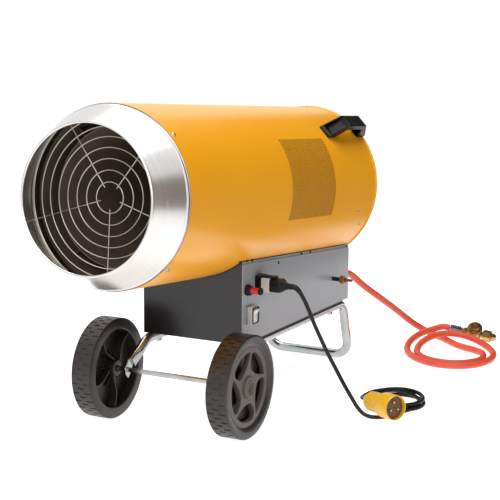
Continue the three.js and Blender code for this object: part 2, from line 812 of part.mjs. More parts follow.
function inletLatch() {
  const [pivotX, pivotZ] = latchPivot;
  const tip = shellEnd + 9;
  const side = shapeOf([
    [pivotZ - 1.5, pivotX - 1], [pivotZ + 1.5, pivotX - 1], [pivotZ + 1.5, tip], [pivotZ - 2.5, tip],
    [pivotZ - 2.5, tip - 3], [pivotZ - 1.5, tip - 4],
  ]);
  return slab('y', side, -9, 9);
}

function terminalBlock() {
  const base = block([-32, 32], [-14, 14], [sheet + seatGap, 22]);
  const slots = [-24, -12, 0, 12, 24].map((x) => block([x - 4, x + 4], [-20, 4], [12, 30]));
  return cut(base, ...slots);
}

// ---------- Mains lead ----------

function connectorHood() {
  const start = shellEnd + seatGap;
  const body = slab('z', shapeOf([
    [start, -14], [start + 20, -14], [hoodEnd - 4, -9], [hoodEnd, -7], [hoodEnd, 7], [hoodEnd - 4, 9],
    [start + 20, 14], [start, 14],
  ]), -13, 13);
  const pin = rod('x', 2.5, flangeEnd + 8, start + 4, 12);
  const exit = rod('x', 6, hoodEnd - 1, hoodExit, 12);
  return join(body, pin, exit);
}

// Where the lead hangs and lies, from the connector to its coil. It passes under the plug.
const leadStart = new THREE.Vector3(183.3, -12.9, 267.8);
const leadPoints = [
  [198, -8.5, 260], [203.5, 1, 243.5], [208.5, 12.5, 221], [215, 27, 188], [223, 43.5, 153], [233, 58.5, 118],
  [245, 69, 87.5], [259.5, 73.5, 59], [276, 72, 36], [293, 66, 18], [309, 61, 8.2], [325, 61.5, 4.6],
  [340, 68.5, 4.3], [351.5, 82, 4.3], [359, 99, 4.3], [363.5, 117, 4.3],
];

// The coil lies on the floor. It spirals in on the lower layer, climbs, and spirals out on the upper one.
const leadCoil = {
  centre: [328, 180], outer: 58, pitch: 8.8, layer: 8.8, turns: 2.5, start: -38, floor: 4.3, hump: 2.5,
};

function leadCoilPoint(turns) {
  const { centre, outer, pitch, layer, floor, hump } = leadCoil;
  const radius = outer - pitch * Math.min(turns, leadCoil.turns - turns);
  const climb = THREE.MathUtils.smoothstep(turns, leadCoil.turns / 2 - 0.25, leadCoil.turns / 2 + 0.25);
  const angle = radians(leadCoil.start) + 2 * Math.PI * turns;
  const [cos, sin] = [Math.cos(angle), Math.sin(angle)];
  const rise = climb * (layer + hump * Math.max(0, sin) ** 2);
  return new THREE.Vector3(centre[0] + radius * cos, centre[1] + radius * sin, floor + rise);
}

// From the coil's upper end round to the plug's gland.
const tailPoints = [
  [273.5, 203, 14], [268.3, 188, 14], [266.8, 171, 14.4], [268, 153, 15.8], [272, 136, 18.4],
  [278.5, 120.5, 22],
  [285.5, 109, 25],
];

// The plug lies across the lead, beside the coil.
const plugMouth = new THREE.Vector3(382, 49, 34);
const plugHeel = new THREE.Vector3(300, 96, 27.5);
const plugLength = plugMouth.distanceTo(plugHeel);
const mouthRadius = 25;
const mouthWall = 2.5;
const mouthDepth = 30;
const insertRadius = 20;
const insertBack = plugLength - mouthDepth - 4;
const glandLength = 12;

function plugBody() {
  const bore = mouthRadius - mouthWall;
  const seat = insertRadius + seatGap;
  return turned('x', [
    [0, glandLength], [17, glandLength], [20, glandLength + 4], [20, 50], [22, 54], [mouthRadius, 58],
    [mouthRadius, plugLength], [bore, plugLength], [bore, plugLength - mouthDepth],
    [seat, plugLength - mouthDepth],
    [seat, insertBack], [0, insertBack],
  ], 20);
}

function plugInsert() {
  const face = insertBack + 12;
  const disc = rod('x', insertRadius, insertBack + seatGap, face, 20);
  const pins = [90, 210, 330].map((angle) => {
    const pin = rod('x', angle === 90 ? 3.2 : 2.5, face - 1, plugLength - 5, 8);
    return pin.translate(0, 10 * Math.cos(radians(angle)), 10 * Math.sin(radians(angle)));
  });
  return join(disc, ...pins);
}

function plugGland() {
  const end = glandLength - seatGap;
  return turned('x', [[0, 0], [9, 0], [13, 3], [13, 9], [15.5, 9.5], [15.5, end], [0, end]], 16);
}

// ---------- Gas hose ----------
// From the inlet the hose falls to the floor in a wide turn, and runs in to where its loops start.
const hoseStart = new THREE.Vector3(84, 456.3, 193.1);
const hosePoints = [
  [84.6, 486, 188], [88, 506, 172.5], [95.5, 530, 149.5], [106, 554, 130.5], [117, 578, 113.5],
  [126, 607, 96.5], [132.5, 638, 79.5], [138.5, 669, 62.5], [147, 696, 44.5], [164, 715, 26.5],
  [193, 720, 12.5], [225, 707, 7.9], [253, 683, 7.9], [279, 660, 7.9], [307, 643, 7.9], [337, 630, 7.9],
  [361, 612, 7.9],
];

// Two wide loops on the floor, drifting back as they grow. At the rear they pass over the stretch that
// comes in.
const hoseCoil = {
  centre: [303, 581], skew: 27.5, across: 72, along: 80, acrossGrowth: 21, alongGrowth: 36, drift: 15,
  start: -35, end: -610, floor: 7.9, hump: 18,
};

function hoseCoilPoint(turns) {
  const { centre, skew, across, along, acrossGrowth, alongGrowth, drift, floor, hump } = hoseCoil;
  const angle = radians(hoseCoil.start) - 2 * Math.PI * turns;
  const [cos, sin] = [Math.cos(angle), Math.sin(angle)];
  const point = new THREE.Vector3(
    (across + acrossGrowth * turns) * cos,
    (along + alongGrowth * turns) * sin + drift * turns,
    floor + hump * Math.max(0, sin) ** 2,
  );
  const middle = new THREE.Vector3(centre[0], centre[1], 0);
  return point.applyAxisAngle(unitZ, radians(skew)).add(middle);
}

// From the loops' end over to the regulator, which rests on the floor with its far end.
const hoseTailPoints = [[210, 712.3, 26.4], [218, 719.8, 28.8]];
const regulatorStart = new THREE.Vector3(242, 724.6, 28.6);
const regulatorDirection = new THREE.Vector3(0.993, 0.03, -0.11).normalize();

// The nut that holds the hose on the inlet fitting, and the crimped sleeve behind it.
function hoseNut() {
  const from = boxLength + 6 + seatGap;
  const sleeveEnd = boxLength + 34;
  return cut(
    join(rod('y', 12, from, from + 15, 6), rod('y', 9.5, from + 14, sleeveEnd, 16)),
    rod('y', inletNeck + seatGap, from - 1, inletFittingEnd + seatGap, 16),
  );
}

// The regulator's pieces lie along X, from the end of the hose.
const ferruleLength = 28;
const regulatorLength = 62;
const capMiddle = ferruleLength + 34;
const capAxis = new THREE.Vector3(0, -0.6, 0.8); // the bonnet leans to the front

function hoseFerrule() {
  return turned('x', [[0, seatGap], [9, seatGap], [9, 12], [8, 13], [9, 14], [9, 24], [7, ferruleLength],
    [0, ferruleLength]], 16);
}

function towardsCap(geometry) {
  const turn = new THREE.Quaternion().setFromUnitVectors(unitZ, capAxis);
  return geometry.applyQuaternion(turn).translate(capMiddle, 0, 0);
}

function regulatorBody() {
  const start = ferruleLength + seatGap;
  const end = ferruleLength + regulatorLength;
  const line = turned('x', [
    [0, start], [6, start], [6, start + 4], [9, start + 5], [9, start + 13], [6.5, start + 14],
    [6.5, start + 22], [12, start + 24], [12, end - 16], [7, end - 14], [7, end], [0, end]], 12);
  return join(line, towardsCap(rod('z', 16, 0, 13, 20)));
}

function regulatorCap() {
  const seat = 13 + seatGap;
  return towardsCap(turned('z', [
    [0, seat], [18, seat], [18, seat + 8], [13, seat + 10], [11, seat + 16], [4, seat + 17],
    [0, seat + 17]], 20));
}

function bottleNut() {
  const end = ferruleLength + regulatorLength;
  const from = end - 9;
  return cut(
    join(rod('x', 14, from, from + 20, 6), turned('x', [
      [0, from + 19], [9, from + 19], [9, from + 26], [5, from + 32],
      [0, from + 32]], 12)),
    rod('x', 7 + seatGap, from - 1, end + seatGap, 16),
  );
}

// ---------- Laying cords ----------

// Points along a smooth curve through a list, a step apart.
function smooth(list, step) {
  const curve = new THREE.CatmullRomCurve3(list, false, 'centripetal');
  return curve.getSpacedPoints(Math.round(curve.getLength() / step));
}

const vectors = (list) => list.map((place) => new THREE.Vector3(...place));

// A coil's points.
function coilRun(pointAt, turns, stepsPerTurn = 24) {
  const steps = Math.round(turns * stepsPerTurn);
  return Array.from({ length: steps + 1 }, (_, i) => pointAt((turns * i) / steps));
}

// The last two points of a cord that runs straight into a face.
function runInto(end, direction, diameter) {
  return [diameter, seatGap].map((back) => end.clone().addScaledVector(direction, -back));
}

// A cord's path from one place to another: straight for one diameter at each end, and smooth through its
// hand-chosen points between. The last place is the next piece's face, so the cord stops a seat gap short
// of it.
function layCord(start, startDirection, list, end, endDirection, diameter, step) {
  const runOut = start.clone().addScaledVector(startDirection, diameter);
  const [runIn, stop] = runInto(end, endDirection, diameter);
  return [start, ...smooth([runOut, ...vectors(list), runIn], step), stop];
}

// The least gap between a coil's turns, measured on points and printed.
function printLeastGap(name, pointAt, turns, diameter) {
  const perTurn = 96;
  const points = Array.from({ length: Math.round(turns * perTurn) + 1 }, (_, i) => pointAt(i / perTurn));
  let least = Infinity;
  for (let i = 0; i < points.length; i += 1) {
    for (let j = i + perTurn / 3; j < points.length; j += 1) {
      least = Math.min(least, points[i].distanceTo(points[j]));
    }
  }
  console.log(`${name}: least gap between turns ${(least - diameter).toFixed(2)} mm`);
}

// ---------- Assembly ----------

function addCasing() {
  add(casingGroup, 'outer_casing', outerCasing(), enamel());
  add(casingGroup, 'outlet_cone', outletCone(), aluminised());
  const grille = wireScreen(grilleFirstRing, grillePitch, grilleRings, grilleWire, grilleSpokes,
    casingBore - coneWall - seatGap * 4);
  add(casingGroup, 'outlet_grille', grille, wire(), [0, grillePlaneY, 0]);
  add(casingGroup, 'combustion_chamber', combustionChamber(), heatedSteel());
  add(casingGroup, 'burner_plate', burnerPlate(), heatedSteel());
  add(casingGroup, 'burner_head', burnerHead(), heatedSteel());
  add(casingGroup, 'gas_nozzle', gasNozzle(), brass());
  add(casingGroup, 'ignition_electrode', sensorRod(1.2, 22), ceramic(), [sensorX, 0, sensorZ]);
  add(casingGroup, 'flame_sensor', sensorRod(2, 30), ceramic(), [-sensorX, 0, sensorZ]);
  const thermostat = turned('z', [[0, 0], [12, 0], [12, 8], [5, 9], [5, 16], [0, 16]], 16);
  add(casingGroup, 'overheat_thermostat', thermostat, blackPlastic(), [0, 330, chamberRadius + seatGap]);
  add(casingGroup, 'fan_motor', fanMotor(), darkPaint());
  add(casingGroup, 'motor_mount', motorMount(), zinc());
  add(casingGroup, 'motor_shaft', motorShaft(), zinc());
  add(casingGroup, 'fan', fan(), aluminised());
  const guardPitch = (casingBore - 34) / guardRings;
  const guard = wireScreen(24, guardPitch, guardRings, guardWire, guardSpokes, casingBore - seatGap * 2);
  add(casingGroup, 'rear_guard', guard, wire(), [0, guardPlaneY, 0]);
  for (const [name, side] of [['handle_right', 1], ['handle_left', -1]]) {
    const handle = add(casingGroup, name, carryHandle(), blackPlastic());
    const angle = radians(90 - handleAngle) * side;
    handle.position.set(
      casingRadius * Math.sin(angle), handleRear - handleLength, casingRadius * Math.cos(angle));
    handle.rotation.y = angle;
  }
}

function addBase() {
  const hole = (y, z, radius) =>
    rod('x', radius + seatGap, panelBack - 5, panelFace + 5, 16).translate(0, y, z);
  const window = (y, z, halfY, halfZ) => block([panelBack - 5, panelFace + 5],
    [y - halfY - seatGap, y + halfY + seatGap], [z - halfZ - seatGap, z + halfZ + seatGap]);
  add(baseGroup, 'base_tray', baseTray(), darkPaint());
  add(baseGroup, 'control_panel', sidePanel(1, [
    hole(igniterY, igniterZ, 8), hole(valveY, valveZ, valveNeck),
    window(rockerY, rockerZ, 11, 14.5), window(socketY, socketZ, 12, 12),
  ]), greyPaint());
  add(baseGroup, 'side_panel', sidePanel(-1, []), greyPaint());
  add(baseGroup, 'mounting_strip_right', mountingStrip(1), zinc());
  add(baseGroup, 'mounting_strip_left', mountingStrip(-1), zinc());
  add(baseGroup, 'terminal_block', terminalBlock(), greyPlastic(), [-30, 150, 0]);
}

function addControls() {
  add(baseGroup, 'igniter_body', igniterBody(), blackPlastic(), [0, igniterY, igniterZ]);
  add(baseGroup, 'igniter_button', igniterButton(), redPlastic(), [0, igniterY, igniterZ]);
  add(baseGroup, 'rocker_housing', rockerHousing(), greyPlastic(), [0, rockerY, rockerZ]);
  add(baseGroup, 'rocker', rocker(), greyPlastic(), [rockerPivotX, rockerY, rockerZ]);
  add(baseGroup, 'inlet_housing', inletHousing(), blackPlastic(), [0, socketY, socketZ]);
  add(baseGroup, 'inlet_shell', inletShell(), greyPlastic(), [0, socketY, socketZ]);
  add(baseGroup, 'inlet_latch', inletLatch(), blackPlastic(), [0, socketY, socketZ]);
}

function addGasLine() {
  add(baseGroup, 'gas_valve', gasValve(), brass());
  add(baseGroup, 'valve_nut', valveNut(), brass(), [0, valveY, valveZ]);
  add(baseGroup, 'valve_push_rod', valvePushRod(), redPlastic(), [0, valveY, valveZ]);
  add(baseGroup, 'gas_inlet', gasInlet(), brass(), [gasInletX, 0, gasInletZ]);
  add(baseGroup, 'inlet_pipe', inletPipe(), copper(), [gasInletX, 0, gasInletZ]);
  add(machine, 'burner_pipe', burnerPipe(), copper());
}

function addTrolley() {
  add(machine, 'base_frame', baseFrame(), zinc());
  boltPlaces().forEach(([x, y], i) => add(baseGroup, `frame_bolt_${i + 1}`, frameBolt(), zinc(), [x, y, 0]));
  const capInner = trackWidth / 2 - capDepth - seatGap * 2;
  add(machine, 'axle', rod('x', axleDiameter / 2, -capInner, capInner, 16), zinc(), [0, axleY, wheelRadius]);
  for (const [side, turn] of [['right', 0], ['left', Math.PI]]) {
    const x = (turn ? -1 : 1) * (trackWidth / 2);
    const place = [x, axleY, wheelRadius];
    add(machine, `wheel_${side}`, wheel(), wheelPlastic(), place).rotation.z = turn;
    add(machine, `hub_cap_${side}`, hubCap(), wheelPlastic(), place).rotation.z = turn;
  }
}

// A group whose X axis runs from a place along a direction.
function lineGroup(start, direction) {
  const group = new THREE.Group();
  group.position.copy(start);
  group.quaternion.setFromUnitVectors(unitX, direction);
  heaterGroup.add(group);
  return group;
}

const directionTo = (from, to) => to.clone().sub(from).normalize();

function addMainsLead() {
  add(baseGroup, 'connector_hood', connectorHood(), blackPlastic(), [0, socketY, socketZ]);
  printLeastGap('power_cord_coil', leadCoilPoint, leadCoil.turns, leadDiameter);
  const coil = coilRun(leadCoilPoint, leadCoil.turns);
  const path = layCord(
    leadStart, unitX, leadPoints, coil[0], directionTo(coil[0], coil[1]), leadDiameter, leadDiameter * 2);
  add(heaterGroup, 'power_cord', tube(path, leadDiameter / 2, 8), blackRubber());
  const toMouth = directionTo(plugHeel, plugMouth);
  const coilPath = [...coil, ...vectors(tailPoints), ...runInto(plugHeel, toMouth, leadDiameter)];
  add(heaterGroup, 'power_cord_coil', tube(coilPath, leadDiameter / 2, 6), blackRubber());
  const plug = lineGroup(plugHeel, toMouth);
  add(plug, 'plug_gland', plugGland(), greyPlastic());
  add(plug, 'plug_body', plugBody(), yellowPlastic());
  add(plug, 'plug_insert', plugInsert(), brownPlastic());
}

function addGasHose() {
  add(baseGroup, 'hose_nut', hoseNut(), brass(), [gasInletX, 0, gasInletZ]);
  const turns = (hoseCoil.start - hoseCoil.end) / 360;
  printLeastGap('gas_hose_coil', hoseCoilPoint, turns, hoseDiameter);
  const coil = coilRun(hoseCoilPoint, turns);
  const fromNut = unitY.clone().applyEuler(baseGroup.rotation);
  const path = layCord(
    hoseStart, fromNut, hosePoints, coil[0], directionTo(coil[0], coil[1]), hoseDiameter, hoseDiameter * 1.5);
  add(heaterGroup, 'gas_hose', tube(path, hoseDiameter / 2, 8), orangeRubber());
  const lastRun = runInto(regulatorStart, regulatorDirection, hoseDiameter);
  const coilPath = [...coil, ...vectors(hoseTailPoints), ...lastRun];
  add(heaterGroup, 'gas_hose_coil', tube(coilPath, hoseDiameter / 2, 6), orangeRubber());
  const regulator = lineGroup(regulatorStart, regulatorDirection);
  add(regulator, 'hose_ferrule', hoseFerrule(), zinc());
  add(regulator, 'regulator_body', regulatorBody(), brass());
  add(regulator, 'regulator_cap', regulatorCap(), brass());
  add(regulator, 'bottle_nut', bottleNut(), brass());
}

addCasing();
addBase();
addControls();
addGasLine();
addTrolley();
addMainsLead();
addGasHose();

export default heaterGroup;
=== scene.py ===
# %% [markdown]
# # A gas forced air heater, dressed on its engineering model
# The machine is a yellow steel tube on a grey base box, carried by a bent tube frame with two wheels. An
# engineering model already fixes every place and size, so this file only adds what the eye wants: smooth
# turned metal, rounded mouldings, a drooping lead, a coiled hose, finishes, and light. All lengths are in
# metres.

# %% Load the fixed frame
import json
import math

import bmesh
import bpy
from mathutils import Matrix, Vector


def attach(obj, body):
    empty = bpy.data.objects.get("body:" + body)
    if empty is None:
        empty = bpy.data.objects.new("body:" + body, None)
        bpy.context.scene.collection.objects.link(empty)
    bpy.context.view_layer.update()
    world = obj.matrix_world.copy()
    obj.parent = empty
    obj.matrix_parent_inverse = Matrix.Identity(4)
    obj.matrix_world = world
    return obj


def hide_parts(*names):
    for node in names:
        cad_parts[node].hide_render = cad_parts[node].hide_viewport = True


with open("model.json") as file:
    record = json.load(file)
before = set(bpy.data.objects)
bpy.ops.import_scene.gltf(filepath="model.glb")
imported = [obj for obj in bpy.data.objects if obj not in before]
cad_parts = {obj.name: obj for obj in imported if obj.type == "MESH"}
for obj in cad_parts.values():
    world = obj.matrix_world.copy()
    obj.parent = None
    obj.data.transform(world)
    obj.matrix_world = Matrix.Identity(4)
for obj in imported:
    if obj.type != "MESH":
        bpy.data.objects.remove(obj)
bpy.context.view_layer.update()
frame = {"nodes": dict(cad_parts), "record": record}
body_of = {node: body for body, nodes in frame["record"]["behaviour"]["bodies"].items() for node in nodes}

# %% [markdown]
# ## The camera
# A product photograph is taken from some way off with a long lens, so that near and far wheels keep nearly
# the same size. The camera's place and angles were fitted to the photograph's two wheels and its outlet.

# %% Camera
CAMERA_PLACE = (1.4975, -2.7071, 0.9368)
CAMERA_AZIMUTH = math.radians(27.53)
CAMERA_ELEVATION = math.radians(11.25)
CAMERA_LENS = 113.79  # millimetres, on a sensor 36 mm wide


def new_object(name, data):
    """An object made from its data, and linked into the scene."""
    made = bpy.data.objects.new(name, data)
    bpy.context.scene.collection.objects.link(made)
    return made


def aim(thing, direction, axis="-Z"):
    """Turns an object until one of its axes points in a direction."""
    thing.rotation_mode = "QUATERNION"
    thing.rotation_quaternion = Vector(direction).to_track_quat(axis, "Y")


camera_data = bpy.data.cameras.new("camera")
camera_data.lens = CAMERA_LENS
camera_data.sensor_width = 36
camera = new_object("camera", camera_data)
camera.location = CAMERA_PLACE
sight = Vector((
    -math.sin(CAMERA_AZIMUTH) * math.cos(CAMERA_ELEVATION),
    math.cos(CAMERA_AZIMUTH) * math.cos(CAMERA_ELEVATION),
    -math.sin(CAMERA_ELEVATION),
))
aim(camera, sight)
bpy.context.scene.camera = camera
print("camera looks along", [round(v, 3) for v in sight])

# %% [markdown]
# ## How a material is written
# Every finish starts from what the real surface is. Colours are written as the sRGB hex codes a painter
# would read off a swatch, and one function turns them into the linear values that Blender works with. One
# more small function adds a node, sets it and wires it, so that a material reads as a list of steps.

# %% Colour and node helpers
def colour(code):
    """An sRGB hex code as linear red, green, blue and an alpha of 1."""
    values = [int(code[i:i + 2], 16) / 255 for i in (0, 2, 4)]
    return (*[v / 12.92 if v <= 0.04045 else ((v + 0.055) / 1.055) ** 2.4 for v in values], 1.0)


def add_node(tree, kind, inputs=None, **settings):
    """Adds a node with its settings. An input is a value, or the socket that is wired to it."""
    made = tree.nodes.new(kind)
    for name, value in settings.items():
        setattr(made, name, value)
    for name, value in (inputs or {}).items():
        if isinstance(value, bpy.types.NodeSocket):
            tree.links.new(value, made.inputs[name])
        else:
            made.inputs[name].default_value = value
    return made


def start_material(name, **shader_inputs):
    """An empty material with its Principled shader, and the place on the object for its patterns."""
    material = bpy.data.materials.new(name)
    material.use_nodes = True
    tree = material.node_tree
    shader = tree.nodes["Principled BSDF"]
    for key, value in shader_inputs.items():
        shader.inputs[key.replace("_", " ")].default_value = value
    place = add_node(tree, "ShaderNodeTexCoord").outputs["Object"]
    return material, tree, shader, place


print("a middle grey swatch is", round(colour("808080")[0], 3), "in linear light")

# %% [markdown]
# ## One recipe that most finishes share
# Paint, moulded plastic and plated metal differ in numbers more than in kind: a colour that drifts a little
# from place to place, a gloss that is uneven where hands and dust have been, and a fine grain that bends
# the highlights. The recipe takes the size of each in metres. A stretch draws the pattern out along an axis,
# and a tilt turns it about X. The true grain of a mould or a lathe tool is a tenth of a millimetre wide or
# less, too fine to show from here, so it is drawn about a millimetre wide.

# %% The shared recipe
def finish(name, light, dark, roughness, metallic=0.0, drift=0.06, grain=0.0015, depth=0.00003,
           uneven=0.06, stretch=(1, 1, 1), tilt=0.0, **shader_inputs):
    """A material whose colour drifts between two codes, with uneven gloss and a fine grain."""
    material, tree, shader, place = start_material(name, Metallic=metallic, **shader_inputs)
    drawn = add_node(tree, "ShaderNodeMapping", {
        "Vector": place, "Rotation": (tilt, 0, 0), "Scale": stretch}).outputs["Vector"]
    wide = add_node(tree, "ShaderNodeTexNoise", {"Vector": drawn, "Scale": 1 / drift, "Detail": 4.0})
    fine = add_node(tree, "ShaderNodeTexNoise", {"Vector": drawn, "Scale": 1 / grain, "Detail": 2.0})
    hue = add_node(tree, "ShaderNodeMix", {
        "Factor": wide.outputs["Fac"], "A": colour(dark), "B": colour(light)}, data_type="RGBA")
    gloss = add_node(tree, "ShaderNodeMapRange", {
        "Value": wide.outputs["Fac"], "To Min": roughness - uneven, "To Max": roughness + uneven})
    bump = add_node(tree, "ShaderNodeBump", {"Height": fine.outputs["Fac"], "Distance": depth})
    tree.links.new(hue.outputs["Result"], shader.inputs["Base Color"])
    tree.links.new(gloss.outputs["Result"], shader.inputs["Roughness"])
    tree.links.new(bump.outputs["Normal"], shader.inputs["Normal"])
    return material


# %% [markdown]
# ## Painted steel
# The casing is rolled steel sheet with a glossy baked powder coat. Powder melts into a skin with a faint
# orange peel, a few millimetres from crest to crest, so its highlights are soft-edged, and a low roughness
# gives the deep gloss over the warm yellow. The box is coated the same way: its tray nearly black, its side
# panels grey and a little duller.

# %% Painted steel
yellow_coat = finish("powder_coated_steel_yellow", "faad18", "f5a513", 0.29, drift=0.15, grain=0.004,
                     depth=0.000002, uneven=0.03, Specular_IOR_Level=0.42)
dark_coat = finish("powder_coated_steel_dark", "201e1f", "1a1819", 0.24, drift=0.12, grain=0.003,
                   depth=0.000005, uneven=0.03)
grey_coat = finish("powder_coated_steel_grey", "a3a6ac", "9b9ea4", 0.34, drift=0.10, grain=0.003,
                   depth=0.000005, uneven=0.04)
print("coats:", yellow_coat.name, dark_coat.name, grey_coat.name)

# %% [markdown]
# ## Bare and plated metal
# The outlet is aluminised steel: bright, a little cloudy, and ringed by the tool that spun it. The wire
# screens are nickel plated and the frame is bright zinc, which mirrors the white floor. Near the flame the
# steel has turned brown-black. The walls of the pierced holes and the field's inner side are coloured dark:
# painted shade inside the holes. Brass and copper fittings keep the fine rings of the lathe and a thin film
# of tarnish.

# %% Metals
CASING_TILT = math.radians(5.9)

aluminised = finish("aluminised_steel_spun", "e0dedd", "d2cfcd", 0.26, metallic=1.0, drift=0.005,
                    grain=0.0011, depth=0.000005, uneven=0.03, stretch=(0.05, 1, 0.05), tilt=CASING_TILT)
plated_wire = finish("nickel_plated_wire", "c9c4ba", "aca79d", 0.32, metallic=1.0, drift=0.02)
heated_steel = finish("heat_darkened_steel", "9c8b7e", "75675e", 0.6, metallic=0.25, drift=0.05, uneven=0.1)
zinc_plate = finish("bright_zinc_plate", "c2c6c4", "9ba09e", 0.16, metallic=1.0, drift=0.03, grain=0.002,
                    depth=0.00001, uneven=0.05)
strip_metal = finish("dull_zinc_plate", "b9bfbd", "a6acaa", 0.4, metallic=0.3, drift=0.03, uneven=0.06)
# Painted shade: the pierced field's hole walls and inner side are coloured dark for the shade inside the
# holes.
field_hole_shade = finish("pierced_field_inside_painted_shade", "3f3833", "2c2724", 0.6, metallic=0.3, drift=0.05,
                      uneven=0.08)
brass_metal = finish("turned_brass", "dcb878", "a5824c", 0.24, metallic=1.0, drift=0.012, grain=0.0008,
                     depth=0.00002, uneven=0.08)
aged_brass = finish("turned_brass_aged", "a67a45", "7f5830", 0.34, metallic=1.0, drift=0.008, grain=0.0008,
                    depth=0.00002, uneven=0.08)
copper_tube = finish("drawn_copper_tube", "c98464", "9c5f45", 0.3, metallic=1.0, drift=0.02)
black_screw = finish("blackened_steel_screw", "2f2f31", "1e1e20", 0.38, metallic=0.8, drift=0.01)
print(len(bpy.data.materials), "finishes with the metals")

# %% [markdown]
# ## Plastics, rubber and ceramic
# The wheels are moulded polypropylene with a waxy grey-brown face and a darker tread. The dish and the ribs
# behind the windows are coloured darker still: painted shade in the recess. The handles are black polyamide
# with a spark-eroded grain that keeps them from shining. The buttons, the switch and the plug are smoother.
# The lead and the hose are extruded rubber, with a dull sheen along them. The electrode and the flame sensor
# stand in glazed alumina.

# %% Plastics, rubber and ceramic
wheel_plastic = finish("moulded_polypropylene", "5d5653", "504946", 0.46, drift=0.05, grain=0.0012,
                       depth=0.00005, uneven=0.07)
tread_plastic = finish("moulded_polypropylene_tread", "2d2826", "211d1b", 0.36, drift=0.03, grain=0.0012,
                       depth=0.00005, uneven=0.1)
# Painted shade: the dish and ribs behind the windows are far darker than the face, for the shade in that
# recess.
recess_shade_plastic = finish("polypropylene_web_painted_shade", "262120", "1b1716", 0.42, drift=0.03, grain=0.0012,
                     depth=0.00005, uneven=0.06)
black_plastic = finish("moulded_polyamide_black", "0e0e0f", "09090a", 0.38, drift=0.03, grain=0.0008,
                       depth=0.00004, uneven=0.06, Specular_IOR_Level=0.22)
red_plastic = finish("moulded_abs_red", "d42a30", "bd1f26", 0.28, drift=0.02, uneven=0.04)
dark_red_plastic = finish("moulded_abs_dark_red", "8e1f22", "76181c", 0.35, drift=0.02, uneven=0.04)
white_plastic = finish("moulded_abs_white", "f4f3f1", "eae9e6", 0.3, drift=0.03, uneven=0.04)
pale_plastic = finish("moulded_abs_pale_grey", "d6d5d1", "c6c5c1", 0.38, drift=0.03, uneven=0.05)
yellow_plastic = finish("moulded_polyamide_yellow", "f4bf20", "e8b116", 0.34, drift=0.02, grain=0.001,
                        depth=0.00002, uneven=0.05)
brown_plastic = finish("moulded_phenolic_brown", "6d4b3b", "59392c", 0.42, drift=0.01, uneven=0.05)
white_ceramic = finish("glazed_alumina", "efeae0", "e2dccf", 0.2, drift=0.01, uneven=0.04)
black_rubber = finish("extruded_rubber_black", "131212", "0c0c0c", 0.4, drift=0.02, grain=0.0007,
                      depth=0.00003, uneven=0.06, Specular_IOR_Level=0.28)
orange_rubber = finish("extruded_rubber_orange", "ec5f43", "e05037", 0.42, drift=0.04, grain=0.0009,
                       depth=0.00003, uneven=0.06)
print(len(bpy.data.materials), "finishes in all")

# %% [markdown]
# ## Putting a piece in place
# A new piece is built where it belongs, with its own object at the origin, and then rides on the body that
# carries it. Shading is smooth over small angles and sharp over large ones, as on the CAD pieces, and a
# small rounded edge is added by a bevel, because a real edge always catches a thread of light.

# %% Piece helpers
SMOOTH_ANGLE = math.radians(32)


def settle(name, mesh, material, body, bevel=0.0, replaced=()):
    """Links a mesh as a piece that rides on a body, and hides the nodes that it stands for."""
    mesh.materials.clear()
    mesh.materials.append(material)
    mesh.shade_smooth()
    mesh.set_sharp_from_angle(angle=SMOOTH_ANGLE)
    piece = new_object(name, mesh)
    if bevel:
        rounded = piece.modifiers.new("rounded_edges", "BEVEL")
        rounded.width = bevel
        rounded.segments = 2
        rounded.limit_method = "ANGLE"
        rounded.angle_limit = SMOOTH_ANGLE
    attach(piece, body)
    if replaced:
        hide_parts(*replaced)
    return piece


def mesh_of(points, faces, matrix=None):
    """A mesh of points and faces, put in place by a matrix, with its faces pointing out."""
    mesh = bpy.data.meshes.new("shape")
    mesh.from_pydata([tuple(p) for p in points], [], faces)
    if matrix is not None:
        mesh.transform(matrix)
    shape = bmesh.new()
    shape.from_mesh(mesh)
    bmesh.ops.remove_doubles(shape, verts=shape.verts, dist=1e-6)
    bmesh.ops.recalc_face_normals(shape, faces=shape.faces)
    shape.to_mesh(mesh)
    shape.free()
    return mesh


def along(start, direction, up=(0, 0, 1)):
    """A matrix at a place whose Y axis runs along a direction and whose Z axis is near to up."""
    y = Vector(direction).normalized()
    x = y.cross(Vector(up)).normalized()
    z = x.cross(y)
    turn = Matrix((x, y, z)).transposed().to_4x4()
    return Matrix.Translation(start) @ turn


# %% [markdown]
# ## Four ways of making a shape
# Most of this machine comes from four workshop processes: turning on a lathe, bending tube, stamping flat
# plate, and moulding. The first three become functions. The fourth starts from the CAD solid, whose flat
# facets are merged and whose edges are then rounded.

# %% Turned, swept and stamped shapes
def ring_faces(rows, count, closed):
    """Quads between neighbouring rows of points, each row a ring."""
    steps = rows if closed else rows - 1
    return [(i * count + j, i * count + (j + 1) % count, (i + 1) % rows * count + (j + 1) % count,
             (i + 1) % rows * count + j) for i in range(steps) for j in range(count)]


def turned(profile, matrix, segments=64, flutes=None):
    """Turns a profile of (radius, place) about the matrix's Y axis. It closes on itself unless it starts and
    ends on the axis. flutes is (count, depth, from, to): ridges along the axis."""
    points = []
    for radius, place in profile:
        for i in range(segments):
            angle = 2 * math.pi * i / segments
            reach = radius
            if flutes and flutes[2] < place < flutes[3]:
                reach -= flutes[1] * (math.cos(flutes[0] * angle) > 0)
            points.append((reach * math.cos(angle), place, reach * math.sin(angle)))
    open_ended = profile[0][0] == 0 and profile[-1][0] == 0
    return mesh_of(points, ring_faces(len(profile), segments, not open_ended), matrix)


